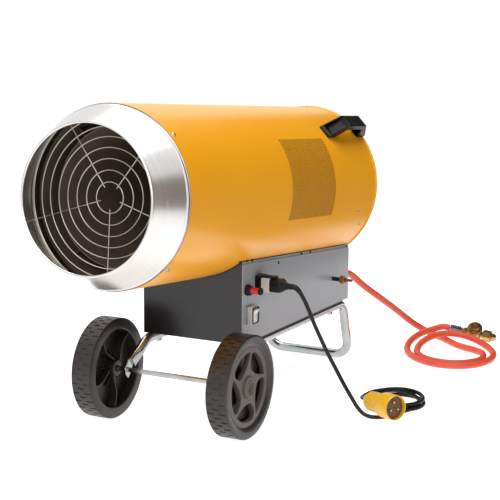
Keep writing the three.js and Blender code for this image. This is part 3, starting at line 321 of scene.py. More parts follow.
def swept(route, section_at, up=(0, 0, 1)):
    """Skins a closed outline along a route, with flat ends. section_at(share) gives the outline's points."""
    points = []
    side = Vector(up)
    for i, place in enumerate(route):
        ahead = route[min(i + 1, len(route) - 1)] - route[max(i - 1, 0)]
        ahead.normalize()
        side = (side - side.dot(ahead) * ahead).normalized()
        across = ahead.cross(side)
        outline = section_at(i / (len(route) - 1))
        points += [place + across * a + side * b for a, b in outline]
    count = len(outline)
    faces = ring_faces(len(route), count, False)
    faces += [tuple(range(count)), tuple(range(len(points) - count, len(points)))]
    return mesh_of(points, faces)


def oval(width, height, count=24, squareness=1.0):
    """The points of an oval. A squareness below 1 pushes it towards a rounded rectangle."""
    outline = []
    for i in range(count):
        angle = 2 * math.pi * i / count
        cos, sin = math.cos(angle), math.sin(angle)
        outline.append((width * math.copysign(abs(cos) ** squareness, cos),
                        height * math.copysign(abs(sin) ** squareness, sin)))
    return outline


def stamped(outline, low, high, matrix):
    """A flat plate: an outline of (across, up) with thickness along the matrix's Y axis."""
    count = len(outline)
    points = [(a, y, b) for y in (low, high) for a, b in outline]
    faces = ring_faces(2, count, False) + [tuple(range(count)), tuple(range(count, 2 * count))]
    return mesh_of(points, faces, matrix)


# %% Rounding off a CAD solid
def refined(node, material, bevel=0.0006):
    """The CAD solid again, with its facets merged and its edges rounded."""
    mesh = frame["nodes"][node].data.copy()
    if "custom_normal" in mesh.attributes:
        mesh.attributes.remove(mesh.attributes["custom_normal"])
    shape = bmesh.new()
    shape.from_mesh(mesh)
    bmesh.ops.remove_doubles(shape, verts=shape.verts, dist=1e-5)
    bmesh.ops.dissolve_limit(shape, angle_limit=math.radians(1), verts=shape.verts, edges=shape.edges)
    shape.to_mesh(mesh)
    shape.free()
    return settle(node + "_finished", mesh, material, body_of[node], bevel, [node])


# %% [markdown]
# ## The places that the pieces share
# The casing lies nose-up on a base box that itself falls slightly to the rear. Two matrices hold those two
# tilts, so that every piece on the casing or the box can be written as if it lay level.

# %% The machine's own places
FRONT_RIM_Y = -0.3748
casing_place = Matrix.Translation((0, FRONT_RIM_Y, 0.482)) @ Matrix.Rotation(-CASING_TILT, 4, "X")
box_place = Matrix.Translation((0, FRONT_RIM_Y + 0.294, 0.158)) @ Matrix.Rotation(math.radians(-1), 4, "X")
machine_place = Matrix.Translation((0, FRONT_RIM_Y, 0))
CASING_RADIUS = 0.1675
CASING_LENGTH = 0.820
PANEL_FACE = 0.1115
ROOT = "heater"
print("outlet rim at", [round(v, 3) for v in casing_place.translation])

# %% [markdown]
# ## Cords, before anything else
# A lead or hose is a fixed length of something bendy. The lead leaves its connector level, droops under its
# own weight, runs along the floor, and is wound into a small coil before it comes back into its plug. The
# chosen places are joined by a smooth curve that passes through every one of them, and the coils come from
# a formula, as turns do when they are wound by hand.

# %% A smooth route through chosen places
def smooth_route(places, spacing):
    """A centripetal curve through places, with a point about every spacing."""
    points = [Vector(p) for p in places]
    points = [2 * points[0] - points[1], *points, 2 * points[-1] - points[-2]]
    route = []
    for before, start, end, after in zip(points, points[1:], points[2:], points[3:]):
        first, span, last = [(b - a).length ** 0.5 for a, b in ((before, start), (start, end), (end, after))]
        leave = ((start - before) / first - (end - before) / (first + span) + (end - start) / span) * span
        arrive = ((end - start) / span - (after - start) / (span + last) + (after - end) / last) * span
        steps = max(1, round((end - start).length / spacing))
        for i in range(steps):
            t = i / steps
            route.append((2 * t**3 - 3 * t**2 + 1) * start + (t**3 - 2 * t**2 + t) * leave
                         + (3 * t**2 - 2 * t**3) * end + (t**3 - t**2) * arrive)
    return [*route, points[-2]]


def route_length(route):
    """The length along a route, point by point."""
    return sum((b - a).length for a, b in zip(route, route[1:]))


def add_outline(curve, places, closed=False):
    """Adds places to a curve as a run of straight steps."""
    spline = curve.splines.new("POLY")
    spline.points.add(len(places) - 1)
    for point, place in zip(spline.points, places):
        point.co = (*place.to_3d(), 1)
    spline.use_cyclic_u = closed


def round_cord(name, route, diameter, material, replaced):
    """A cord as one open curve with a round section."""
    curve = bpy.data.curves.new(name, "CURVE")
    curve.dimensions = "3D"
    curve.bevel_depth = diameter / 2
    curve.bevel_resolution = 5
    curve.use_fill_caps = True
    add_outline(curve, route)
    curve.materials.append(material)
    cord = new_object(name, curve)
    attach(cord, ROOT)
    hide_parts(*replaced)
    print(name, "is", round(route_length(route), 3), "m long in", len(route), "points")
    return cord


# %% The mains lead's route
CORD_GAP = 0.0003  # between a cord and what it goes into or lies on
LEAD_DIAMETER = 0.008
LEAD_ON_FLOOR = LEAD_DIAMETER / 2 + CORD_GAP
LEAD_START = Vector((0.1833, -0.0129, 0.2678))
LEAD_PLACES = [
    (0.198, -0.0085, 0.260), (0.2035, 0.001, 0.2435), (0.2085, 0.0125, 0.221), (0.215, 0.027, 0.188),
    (0.223, 0.0435, 0.153), (0.233, 0.0585, 0.118), (0.245, 0.069, 0.0875), (0.2595, 0.0735, 0.059),
    (0.276, 0.072, 0.036), (0.293, 0.066, 0.018), (0.309, 0.061, 0.0082), (0.325, 0.0615, 0.0046),
    (0.340, 0.0685, 0.0043), (0.3515, 0.082, 0.0043), (0.359, 0.099, 0.0043), (0.3635, 0.117, 0.0043),
]
LEAD_COIL_CENTRE = Vector((0.328, 0.180, 0))
LEAD_COIL_TURNS = 2.5
LEAD_COIL_STEPS = 60
LEAD_TAIL = [
    (0.2735, 0.203, 0.014), (0.2683, 0.188, 0.014), (0.2668, 0.171, 0.0144), (0.268, 0.153, 0.0158),
    (0.272, 0.136, 0.0184), (0.2785, 0.1205, 0.022), (0.2855, 0.109, 0.025),
]
PLUG_HEEL = Vector((0.300, 0.096, 0.0275))
PLUG_MOUTH = Vector((0.382, 0.049, 0.034))
plug_axis = (PLUG_MOUTH - PLUG_HEEL).normalized()


def smoothstep(value, low, high):
    """0 below low, 1 above high, and a gentle S between them."""
    share = min(1, max(0, (value - low) / (high - low)))
    return share * share * (3 - 2 * share)


def lead_coil_point(turns):
    """The coil spirals in on the floor, climbs one layer, and spirals out again on top, where it lifts a
    little at the back to pass over the turns below."""
    outer, layer, lift, start = 0.058, LEAD_DIAMETER * 1.1, 0.0025, math.radians(-38)
    radius = outer - layer * min(turns, LEAD_COIL_TURNS - turns)
    climb = smoothstep(turns, LEAD_COIL_TURNS / 2 - 0.25, LEAD_COIL_TURNS / 2 + 0.25)
    angle = start + 2 * math.pi * turns
    height = LEAD_ON_FLOOR + climb * (layer + lift * max(0, math.sin(angle)) ** 2)
    return LEAD_COIL_CENTRE + Vector((radius * math.cos(angle), radius * math.sin(angle), height))


lead_coil = [lead_coil_point(LEAD_COIL_TURNS * i / LEAD_COIL_STEPS) for i in range(LEAD_COIL_STEPS + 1)]
lead_leaves = [LEAD_START, LEAD_START + Vector((LEAD_DIAMETER, 0, 0))]
lead_arrives = [PLUG_HEEL - plug_axis * LEAD_DIAMETER, PLUG_HEEL - plug_axis * CORD_GAP]
lead_route = smooth_route([*lead_leaves, *LEAD_PLACES, *lead_coil, *LEAD_TAIL, *lead_arrives], 0.004)
mains_lead = round_cord("mains_lead", lead_route, LEAD_DIAMETER, black_rubber,
                        ["power_cord", "power_cord_coil"])

# %% The gas hose's route
HOSE_DIAMETER = 0.015
HOSE_ON_FLOOR = HOSE_DIAMETER / 2 + 0.0004
HOSE_START = Vector((0.084, 0.4563, 0.1931))
HOSE_PLACES = [
    (0.0846, 0.486, 0.1895), (0.088, 0.506, 0.1785), (0.0955, 0.530, 0.1595), (0.106, 0.554, 0.1405),
    (0.117, 0.578, 0.1225), (0.126, 0.607, 0.1030), (0.1325, 0.638, 0.0835), (0.1385, 0.669, 0.0640),
    (0.147, 0.696, 0.0445), (0.164, 0.715, 0.0265), (0.193, 0.720, 0.0125), (0.225, 0.707, 0.0079),
    (0.253, 0.683, 0.0079), (0.279, 0.660, 0.0079), (0.307, 0.643, 0.0079), (0.337, 0.630, 0.0079),
    (0.361, 0.612, 0.0079),
]
HOSE_COIL_CENTRE = Vector((0.303, 0.581, 0))
HOSE_COIL_TURNS = 575 / 360
HOSE_COIL_STEPS = 38
HOSE_TAIL = [(0.210, 0.7123, 0.0264), (0.218, 0.7198, 0.0288)]
REGULATOR_START = Vector((0.242, 0.7246, 0.0286))
regulator_axis = Vector((0.993, 0.03, -0.11)).normalized()


def hose_coil_point(turns):
    """Wide loops that drift back as they grow, and pass over the stretch that comes in."""
    angle = math.radians(-35) - 2 * math.pi * turns
    across = (0.072 + 0.021 * turns) * math.cos(angle)
    ahead = (0.080 + 0.036 * turns) * math.sin(angle) + 0.015 * turns
    height = HOSE_ON_FLOOR + 0.018 * max(0, math.sin(angle)) ** 2
    place = Matrix.Rotation(math.radians(27.5), 3, "Z") @ Vector((across, ahead, height))
    return HOSE_COIL_CENTRE + place


hose_coil = [hose_coil_point(HOSE_COIL_TURNS * i / HOSE_COIL_STEPS) for i in range(HOSE_COIL_STEPS + 1)]
hose_leaves = [HOSE_START, HOSE_START + box_place.to_3x3() @ Vector((0, HOSE_DIAMETER, 0))]
hose_arrives = [REGULATOR_START - regulator_axis * reach for reach in (HOSE_DIAMETER, CORD_GAP)]
hose_route = smooth_route([*hose_leaves, *HOSE_PLACES, *hose_coil, *HOSE_TAIL, *hose_arrives], 0.006)
gas_hose = round_cord("gas_supply_hose", hose_route, HOSE_DIAMETER, orange_rubber,
                      ["gas_hose", "gas_hose_coil"])

# %% [markdown]
# ## The casing
# The casing is one sheet rolled into a tube. Its rear edge is rolled over into a hem. At the side it is
# pierced by a field of small round holes, set in staggered rows, that lets cooling air in. The sheet is a
# grid of steps around the axis, with a window left open where the pierced field goes, and a modifier gives
# it its thickness. The holes are real, so the field darkens as it should from any side.

# %% Casing sheet
STEP_DEGREES = 2.5
FIELD_DEGREES = (-17.5, 40.0)
FIELD_Y = (0.402, 0.605)
PIPE_OPENING_DEGREES = (-107.5, -72.5)
PIPE_OPENING_Y = (0.44, 0.60)
SHEET = 0.0015


def on_casing(degrees, y, radius=CASING_RADIUS):
    """A place on the casing: an angle up from its right side, a distance behind its front rim."""
    angle = math.radians(degrees)
    return casing_place @ Vector((radius * math.cos(angle), y, radius * math.sin(angle)))


def casing_normal(degrees):
    """The direction straight out of the casing at an angle up from its right side."""
    angle = math.radians(degrees)
    return casing_place.to_3x3() @ Vector((math.cos(angle), 0, math.sin(angle)))


def thicken(piece, thickness, inside):
    """Gives a skin the sheet's thickness inwards, and another finish to its inner side and its cut edges.
    The open edges are sharp, so that the cut face doesn't bend the shading of the skin."""
    piece.data.materials.append(inside)
    skin = bmesh.new()
    skin.from_mesh(piece.data)
    for edge in skin.edges:
        edge.smooth = edge.smooth and not edge.is_boundary
    skin.to_mesh(piece.data)
    skin.free()
    solid = piece.modifiers.new("sheet_thickness", "SOLIDIFY")
    solid.thickness = thickness
    solid.offset = -1
    solid.material_offset = 1
    solid.material_offset_rim = 1


def casing_sheet():
    """Rings of points from the front rim to the hem, with gaps for the field and the gas pipe."""
    hem = 0.0024
    # Each station is a rise above the sheet's radius and a distance behind the rim.
    stations = [(0, y) for y in sorted([0, 0.004, *PIPE_OPENING_Y, *FIELD_Y])]
    stations += [(rise, CASING_LENGTH - y) for rise, y in
                 ((0, 0.0066), (hem * 0.7, 0.0056), (hem, 0.004), (hem, 0.0022), (hem * 0.6, 0.0006), (0, 0))]
    steps = round(360 / STEP_DEGREES)
    points = [on_casing(-180 + STEP_DEGREES * j, y, CASING_RADIUS + rise)
              for rise, y in stations for j in range(steps)]
    faces = []
    for i, ((_, low), (_, high)) in enumerate(zip(stations, stations[1:])):
        for j in range(steps):
            degrees = -180 + STEP_DEGREES * (j + 0.5)
            middle = (low + high) / 2
            in_field = FIELD_DEGREES[0] < degrees < FIELD_DEGREES[1] and FIELD_Y[0] < middle < FIELD_Y[1]
            in_opening = (PIPE_OPENING_DEGREES[0] < degrees < PIPE_OPENING_DEGREES[1]
                          and PIPE_OPENING_Y[0] < middle < PIPE_OPENING_Y[1])
            if not (in_field or in_opening):
                k = (j + 1) % steps
                faces.append((i * steps + j, i * steps + k, (i + 1) * steps + k, (i + 1) * steps + j))
    return mesh_of(points, faces)


casing_skin = settle("casing_sheet", casing_sheet(), yellow_coat, ROOT, replaced=["outer_casing"])
thicken(casing_skin, SHEET, heated_steel)
print("casing sheet has", len(casing_skin.data.polygons), "faces")


# %% The pierced field
HOLE_RADIUS = 0.0014
FIELD_COLUMNS = 56
FIELD_ROWS = 46


def pierced_field():
    """Square cells, each with an eight-sided hole, whose columns are staggered by half a cell. The cells
    don't share corners, so each is turned to face outwards by itself."""
    wide = (FIELD_Y[1] - FIELD_Y[0]) / FIELD_COLUMNS
    tall = (FIELD_DEGREES[1] - FIELD_DEGREES[0]) / FIELD_ROWS
    tall_metres = math.radians(tall) * CASING_RADIUS
    rim = [(1, 0), (1, 1), (0, 1), (-1, 1), (-1, 0), (-1, -1), (0, -1), (1, -1)]
    points, faces = [], []
    for column in range(FIELD_COLUMNS):
        y = FIELD_Y[0] + wide * (column + 0.5)
        staggered = column % 2
        for row in range(FIELD_ROWS - staggered):
            degrees = FIELD_DEGREES[0] + tall * (row + 0.5 + 0.5 * staggered)
            first = len(points)
            for a, b in rim:
                points.append(on_casing(degrees + b * tall / 2, y + a * wide / 2))
            for a, b in rim:
                reach = HOLE_RADIUS / math.hypot(a, b)
                points.append(on_casing(degrees + b * reach / tall_metres * tall, y + a * reach))
            faces += [(first + i, first + (i + 1) % 8, first + 8 + (i + 1) % 8, first + 8 + i)
                      for i in range(8)]
        for end in range(2 * staggered):
            low = FIELD_DEGREES[0] if end == 0 else FIELD_DEGREES[1] - tall / 2
            first = len(points)
            points += [on_casing(low + b * tall / 2, y + a * wide / 2)
                       for a, b in ((-1, 0), (1, 0), (1, 1), (0, 1), (-1, 1))]
            faces.append(tuple(range(first, first + 5)))
    made = mesh_of(points, faces)
    cells = bmesh.new()
    cells.from_mesh(made)
    for face in cells.faces:
        across = casing_place.inverted() @ face.calc_center_median()
        if face.normal.dot(casing_place.to_3x3() @ Vector((across.x, 0, across.z))) < 0:
            face.normal_flip()
    cells.to_mesh(made)
    cells.free()
    return made


field = settle("casing_pierced_field", pierced_field(), yellow_coat, ROOT)
# The field's inner side and hole walls get the dark colour: painted shade in the holes.
thicken(field, SHEET, field_hole_shade)
print("pierced field has", FIELD_COLUMNS * FIELD_ROWS - FIELD_COLUMNS // 2, "holes")

# %% [markdown]
# ## The outlet cone and the wire screens
# The cone is spun from one sheet, with a rolled bead at its mouth and a low ridge where it meets the
# casing. Its inside is as bare as its outside. The screens are rings of wire welded to spokes, made from
# rings and rods that touch as welded wires do.

# %% Outlet cone
MOUTH_RADIUS = 0.1344
BEAD_RADIUS = 0.0028
BEAD_Y = -0.0739


def cone_profile():
    """The sheet's section: the bead at the mouth, the cone, the ridge, and the collar inside the casing."""
    bead_turns = [math.radians(degrees) for degrees in range(-230, 11, 20)]
    bead = [(MOUTH_RADIUS + BEAD_RADIUS * math.cos(turn), BEAD_Y + BEAD_RADIUS * math.sin(turn))
            for turn in bead_turns]
    ridge = [(0.1634, -0.0088), (0.1631, -0.0074), (0.1642, -0.0066), (0.1656, -0.0056), (0.1660, -0.0042),
             (0.1660, -0.0026), (0.1652, -0.0014)]
    collar = [(0.1646, -0.0008), (0.1646, 0.0010), (0.1656, 0.0014), (0.1656, 0.0238), (0.1645, 0.0238),
              (0.1635, -0.0010)]
    return [*bead, (0.1378, -0.0720), (0.1505, -0.0405), *ridge, *collar, (0.1620, -0.0090),
            (0.1494, -0.0400), (0.1350, -0.0706)]


cone = settle("outlet_cone_spun", turned(cone_profile(), casing_place, 128), aluminised, ROOT,
              replaced=["outlet_cone"])
print("outlet cone has", len(cone.data.polygons), "faces")


# %% Wire screens
def wire_ring(radius, wire, y, segments=96):
    """One ring of round wire about the casing's axis."""
    profile = [(radius + wire / 2 * math.cos(math.pi * i / 5), y + wire / 2 * math.sin(math.pi * i / 5))
               for i in range(10)]
    return turned(profile, casing_place, segments)


def joined(meshes):
    """Several shapes as one mesh."""
    whole = bmesh.new()
    for mesh in meshes:
        whole.from_mesh(mesh)
        bpy.data.meshes.remove(mesh)
    made = bpy.data.meshes.new("joined")
    whole.to_mesh(made)
    whole.free()
    return made


def wire_screen(radii, wire, y, spokes, inner, reach):
    """Rings of wire, and spokes behind them that run from an inner radius out to the casing's wall."""
    parts = [wire_ring(radius, wire, y) for radius in radii]
    for i in range(spokes):
        outwards = casing_normal(360 / spokes * i - 90)
        middle = casing_place @ Vector((0, y + wire * 0.8, 0))
        route = [middle + outwards * (inner + (reach - inner) * j / 8) for j in range(9)]
        parts.append(swept(route, lambda share: oval(wire / 2, wire / 2, 12), up=(0, 1, 0)))
    return joined(parts)


# The front rings stand 21 mm apart at the middle, and a little closer outwards. The rear ones are even.
front_radii = [0.028 + 0.0212 * i - 0.00028 * i * i for i in range(8)]
settle("outlet_screen", wire_screen(front_radii, 0.0025, 0.004, 5, 0.021, 0.1636), plated_wire, ROOT,
       replaced=["outlet_grille"])
rear_radii = [0.024 + 0.0132 * i for i in range(11)]
settle("intake_screen", wire_screen(rear_radii, 0.0026, 0.808, 4, 0.017, 0.1654), plated_wire, ROOT,
       replaced=["rear_guard"])
print(len(front_radii), "rings in the outlet and", len(rear_radii), "at the intake")

# %% [markdown]
# ## What the casing holds
# Behind the screens are the combustion chamber, the burner and its rods, the motor and the fan. They keep
# their CAD shape, with merged facets and rounded edges, and get the finish of what they are made of, except
# the fan, which is given the dark coat as painted shade, so that it shows dark inside the casing.

# %% Inner pieces
for node in ("combustion_chamber", "burner_plate", "burner_head"):
    refined(node, heated_steel, 0.0003)
# The fan is aluminium, but gets the dark coat: painted shade, so that it shows dark through the pierced
# field.
for node, material in (("gas_nozzle", brass_metal), ("ignition_electrode", white_ceramic),
                       ("flame_sensor", white_ceramic), ("overheat_thermostat", black_plastic),
                       ("fan_motor", dark_coat), ("motor_mount", black_screw), ("motor_shaft", zinc_plate),
                       ("fan", dark_coat)):
    refined(node, material, 0.0004)
print("the chamber, burner, motor and fan are dressed")

# %% [markdown]
# ## Handles and the base box
# The two handles are hollow mouldings with a pocket in each sloping face. The base box is folded steel: a
# dark tray, a grey panel at each side, and a plated strip between panel and casing. A thin black bead lies
# in the corner where the casing meets each strip, and another along the top of the box's front wall: painted
# shade for the dark line in those corners.

# %% Handles and base box
for node, material, edge in (
        ("handle_right", black_plastic, 0.0012), ("handle_left", black_plastic, 0.0012),
        ("base_tray", dark_coat, 0.0007), ("control_panel", grey_coat, 0.0005),
        ("side_panel", grey_coat, 0.0005), ("mounting_strip_right", strip_metal, 0.0003),
        ("mounting_strip_left", strip_metal, 0.0003), ("terminal_block", pale_plastic, 0.0005)):
    refined(node, material, edge)
print("the handles and the base box are dressed")

# %% Painted shade lines where the casing meets the box
CONTACT_LINE_DEGREES = -49.6
STRIP_FRONT = 0.301
STRIP_REAR = 0.799


def shade_bead(name, line, radius):
    """A round black bead along a line of places: painted shade in a corner."""
    settle(name, swept(line, lambda share: oval(radius, radius, 12)), black_rubber, ROOT)


# Painted shade: black beads in the corners where the casing meets each strip.
for side, degrees in (("right", CONTACT_LINE_DEGREES), ("left", 180 - CONTACT_LINE_DEGREES)):
    shade_bead(f"casing_contact_shade_{side}",
         [on_casing(degrees, STRIP_FRONT + (STRIP_REAR - STRIP_FRONT) * i / 10, CASING_RADIUS + 0.0008)
          for i in range(11)], 0.0012)


def on_front_wall(degrees):
    """Where the casing meets the plane of the box's front wall, at an angle round the casing."""
    near, far = (box_place.inverted() @ on_casing(degrees, y, CASING_RADIUS + 0.0006) for y in (0.25, 0.35))
    return box_place @ (near.lerp(far, -near.y / (far.y - near.y)) - Vector((0, 0.0004, 0)))


# Painted shade: a black bead in the corner between the casing and the box's front wall.
front_line = [on_front_wall(-180 - CONTACT_LINE_DEGREES + (180 + 2 * CONTACT_LINE_DEGREES) * i / 20) for i in range(21)]
shade_bead("casing_contact_shade_front", front_line, 0.0013)
print("front seal is", round(route_length(front_line), 3), "m long")


# %% [markdown]
# ## Screws
# A pan-head screw is a low dome with a cross pressed into it. The recess follows a cross-shaped outline
# that is sunk into the dome. One function makes them all, wherever a surface has one.

# %% Screws
def screw_head(place, outwards, radius, material, name):
    """A pan head on a surface, with a pressed cross."""
    height = radius * 0.55
    count = 48
    rings = [[(reach * radius, rise * height)] * count for reach, rise in
             ((1.0, 0.0), (1.0, 0.35), (0.92, 0.72), (0.75, 0.93), (0.62, 1.0))]
    turns = [(360 * i / count) % 90 for i in range(count)]
    cross = [0.5 if turn < 9 or turn > 81 else 0.17 for turn in turns]
    rings.append([(c * radius, height) for c in cross])
    rings.append([(c * radius * 0.9, height * 0.45) for c in cross])
    rings.append([(0, height * 0.4)] * count)
    points = []
    for ring in rings:
        for i, (reach, rise) in enumerate(ring):
            angle = 2 * math.pi * i / count
            points.append((reach * math.cos(angle), rise, reach * math.sin(angle)))
    mesh = mesh_of(points, ring_faces(len(rings), count, False), along(place, outwards, (0.1, 0.3, 1)))
    settle(name, mesh, material, ROOT)


# Angle, distance behind the front rim, and radius. The first four hold the cone, the rest the inner wall.
CASING_SCREWS = [(45, 0.014, 0.0042), (135, 0.014, 0.0042), (225, 0.014, 0.0042), (315, 0.014, 0.0042),
                 (-16, 0.741, 0.003), (-28.5, 0.782, 0.003), (85, 0.765, 0.003), (196, 0.741, 0.003),
                 (208.5, 0.782, 0.003)]
for i, (degrees, y, radius) in enumerate(CASING_SCREWS):
    screw_head(on_casing(degrees, y), casing_normal(degrees), radius, zinc_plate, f"casing_screw_{i + 1}")

STRIP_FACE = 0.1097
PANEL_SCREWS = [(STRIP_FACE, -0.058, 0.3205), (STRIP_FACE, -0.036, 0.3175), (PANEL_FACE, 0.0757, 0.2928),
                (STRIP_FACE, 0.1845, 0.2915), (STRIP_FACE, 0.2279, 0.287), (STRIP_FACE, 0.4126, 0.2665)]
for i, place in enumerate(PANEL_SCREWS):
    screw_head(Vector(place), Vector((1, 0, 0)), 0.003, black_screw, f"panel_screw_{i + 1}")
print(len(CASING_SCREWS) + len(PANEL_SCREWS), "screws")

# %% [markdown]
# ## The wheels
# Each wheel is one moulding: a wide tread with three staggered rows of shallow slots, a face pierced by
# five curved windows, a hub, and thin ribs behind. The tread is a ring of sections whose outer points are
# pushed in wherever a slot is. The face is a flat curve with holes, which Blender fills and bevels by
# itself. A thin dish behind the face closes the windows, so that the ribs show only from the inner side.
# The dish and the ribs are coloured much darker than the face, as painted shade in the recess.

# %% Tread
WHEEL_RADIUS = 0.1
WHEEL_WIDTH = 0.044
RIM_INNER = 0.078
SLOTS_PER_ROW = 32
SLOT_DEPTH = 0.0013
SLOT_WALL = 0.0003
# Each row runs from one depth into the wheel to another, with its slots at this share of a slot's pitch.
SLOT_ROWS = ((-0.0030, -0.0155, 0.5), (-0.0165, -0.0275, 0.0), (-0.0285, -0.0410, 0.5))
# Places round one pitch. Where two lie close together, a slot has its steep wall.
SLOT_PLACES = (0.0, 0.08, 0.09, 0.25, 0.41, 0.42, 0.5, 0.58, 0.59, 0.75, 0.91, 0.92)
SLOT_HALF = 0.085


def tread_depth(phase, x):
    """How far the tread is pushed in, at a share of a slot's pitch and a depth into the wheel."""
    for low, high, middle in SLOT_ROWS:
        if high <= x <= low and min(abs(phase - middle), 1 - abs(phase - middle)) < SLOT_HALF:
            return SLOT_DEPTH
    return 0.0


def tread(matrix):
    """The rim and the tread, as sections round the axle."""
    rows = sorted({x for low, high, _ in SLOT_ROWS for x in (low + SLOT_WALL, low, high, high - SLOT_WALL)},
                  reverse=True)
    points = []
    for slot in range(SLOTS_PER_ROW):
        for phase in SLOT_PLACES:
            section = [(-0.0052, RIM_INNER - 0.0004), (-0.0030, 0.0812), (-0.0010, 0.0850), (0.0, 0.0890),
                       (0.0, 0.0955), (-0.0008, 0.0985), (-0.0020, WHEEL_RADIUS)]
            section += [(x, WHEEL_RADIUS - tread_depth(phase, x)) for x in rows]
            section += [(-0.0422, WHEEL_RADIUS), (-0.0432, 0.0990), (-WHEEL_WIDTH, 0.0966),
                        (-WHEEL_WIDTH, RIM_INNER + 0.002), (-0.042, RIM_INNER)]
            angle = 2 * math.pi * (slot + phase) / SLOTS_PER_ROW
            points += [(x, r * math.cos(angle), r * math.sin(angle)) for x, r in section]
    count = len(section)
    return mesh_of(points, ring_faces(SLOTS_PER_ROW * len(SLOT_PLACES), count, True), matrix)


print("each tread has", SLOTS_PER_ROW * len(SLOT_PLACES), "sections")

# %% Pierced face
WHEEL_PHASE = math.radians(-18)
FACE_RADIUS = 0.0768
# One window, as bends between corners. Each place is a radius and an angle in degrees.
WINDOW_BENDS = (((0.068, 26), (0.077, 57), (0.069, 87)), ((0.069, 87), (0.066, 98), (0.051, 97)),
                ((0.051, 97), (0.032, 96), (0.032, 73)), ((0.032, 73), (0.034, 42), (0.068, 26)))


def wheel_spot(radius, degrees, turn=0.0):
    """A place on the wheel's face, with the whole pattern turned."""
    angle = turn + math.radians(degrees)
    return Vector((radius * math.cos(angle), radius * math.sin(angle)))


def leaf_window(turn):
    """One curved window between two swept spokes."""
    outline = []
    for corners in WINDOW_BENDS:
        a, b, c = (wheel_spot(*corner, turn) for corner in corners)
        outline += [(1 - t) ** 2 * a + 2 * t * (1 - t) * b + t * t * c for t in [i / 8 for i in range(8)]]
    return outline


def wheel_face(name, matrix, body):
    """A disc with five windows, filled and bevelled by Blender, that stands in the rim."""
    curve = bpy.data.curves.new(name, "CURVE")
    curve.dimensions = "2D"
    curve.fill_mode = "BOTH"
    curve.extrude = 0.0045
    curve.bevel_depth = 0.0010
    curve.bevel_resolution = 2
    circle = [wheel_spot(FACE_RADIUS, 3 * i) for i in range(120)]
    for outline in [circle, *[leaf_window(WHEEL_PHASE + 2 * math.pi * i / 5) for i in range(5)]]:
        add_outline(curve, outline, closed=True)
    curve.materials.append(wheel_plastic)
    flat = new_object(name, curve)
    # The curve is drawn in X and Y, and stands up here in Y and Z, just inside the wheel's outer side.
    facing = Matrix(((0, 0, 1, -0.0105), (1, 0, 0, 0), (0, 1, 0, 0), (0, 0, 0, 1)))
    flat.matrix_world = matrix @ facing
    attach(flat, body)


print("each window has", len(leaf_window(WHEEL_PHASE)), "points")

# %% Ribs, dish, hub and cap
# A swept rib's middle line as radius and degrees, then turned profiles as radius and depth along the axle.
RIB_ARC = ((0.015, 98), (0.022, 88), (0.032, 76), (0.045, 70), (0.058, 70), (0.070, 73), (0.079, 77))
BOSS_PROFILE = [(0.0056, -0.0220), (0.0160, -0.0220), (0.0160, -0.0425), (0.0146, -0.0438),
                (0.0075, -0.0438), (0.0056, -0.0425)]
DISH_PROFILE = [(0.0210, -0.0215), (0.0450, -0.0205), (0.0782, -0.0185), (0.0782, -0.0203),
                (0.0450, -0.0223), (0.0210, -0.0233)]
HUB_PROFILE = [(0.0144, -0.0095), (0.0144, -0.0012), (0.0155, -0.0004), (0.0195, -0.0004),
               (0.0212, -0.0020), (0.0216, -0.0050), (0.0216, -0.0215), (0.0056, -0.0215), (0.0056, -0.0095)]
CAP_PROFILE = [(0, -0.0042), (0.0088, -0.0042), (0.0102, -0.0030), (0.0108, -0.0008), (0.0124, -0.0003),
               (0.0138, -0.0014), (0.0138, -0.0088), (0, -0.0088)]


def turned_on_axle(profile, matrix, segments=48):
    """A profile turned about the wheel's own axle."""
    return turned(profile, matrix @ along((0, 0, 0), (1, 0, 0)), segments)


def rib(route, half_width, low, high, rise=0.0):
    """A thin upright wall along a route, whose lower edge rises towards the far end."""
    return swept(route, lambda share: [(-half_width, low + rise * share), (half_width, low + rise * share),
                                       (half_width, high), (-half_width, high)], up=(1, 0, 0))


def wheel_ribs(matrix):
    """The inner boss, five swept ribs from it to the rim, and ten short ones round it."""
    parts = []
    for i in range(5):
        turn = WHEEL_PHASE + 2 * math.pi * i / 5
        route = smooth_route([(-0.027, *wheel_spot(*place, turn)) for place in RIB_ARC], 0.004)
        parts.append(rib(route, 0.0013, -0.0125, 0.0050))
    for i in range(10):
        route = [Vector((-0.024, *wheel_spot(radius, 36 * (i + 0.25)))) for radius in (0.015, 0.026, 0.037)]
        parts.append(rib(route, 0.0008, -0.009, 0.0020, rise=0.004))
    parts.append(turned_on_axle(BOSS_PROFILE, Matrix.Identity(4)))
    made = joined(parts)
    made.transform(matrix)
    return made


# %% Both wheels
WHEEL_OUTER_X = 0.170
AXLE_Y = FRONT_RIM_Y + 0.218

for side, sign, turn in (("right", 1, 0), ("left", -1, math.pi)):
    body = f"wheel_{side}"
    place = Matrix.Translation((WHEEL_OUTER_X * sign, AXLE_Y, WHEEL_RADIUS)) @ Matrix.Rotation(turn, 4, "Z")
    settle(f"{body}_tread", tread(place), tread_plastic, body, replaced=[body])
    wheel_face(f"{body}_face", place, body)
    # The dish and the ribs take the darker colour: painted shade behind the windows.
    settle(f"{body}_web", turned_on_axle(DISH_PROFILE, place, 96), recess_shade_plastic, body)
    settle(f"{body}_ribs", wheel_ribs(place), recess_shade_plastic, body, 0.0004)
    settle(f"{body}_hub", turned_on_axle(HUB_PROFILE, place), wheel_plastic, body)
    settle(f"{body}_cap", turned_on_axle(CAP_PROFILE, place), wheel_plastic, body,
           replaced=[f"hub_cap_{side}"])
print("two wheels of", len(SLOT_ROWS) * SLOTS_PER_ROW, "slots each")

# %% [markdown]
# ## The trolley
# One tube is bent into two rails, two rear legs and a floor bar, then bright plated. At the front its
# ends are pressed flat into pointed lugs, drilled for the axle. The sweep lets the round section flatten
# over its last stretch, as it does in the press. The bar that stands on the floor has a narrow flat below.

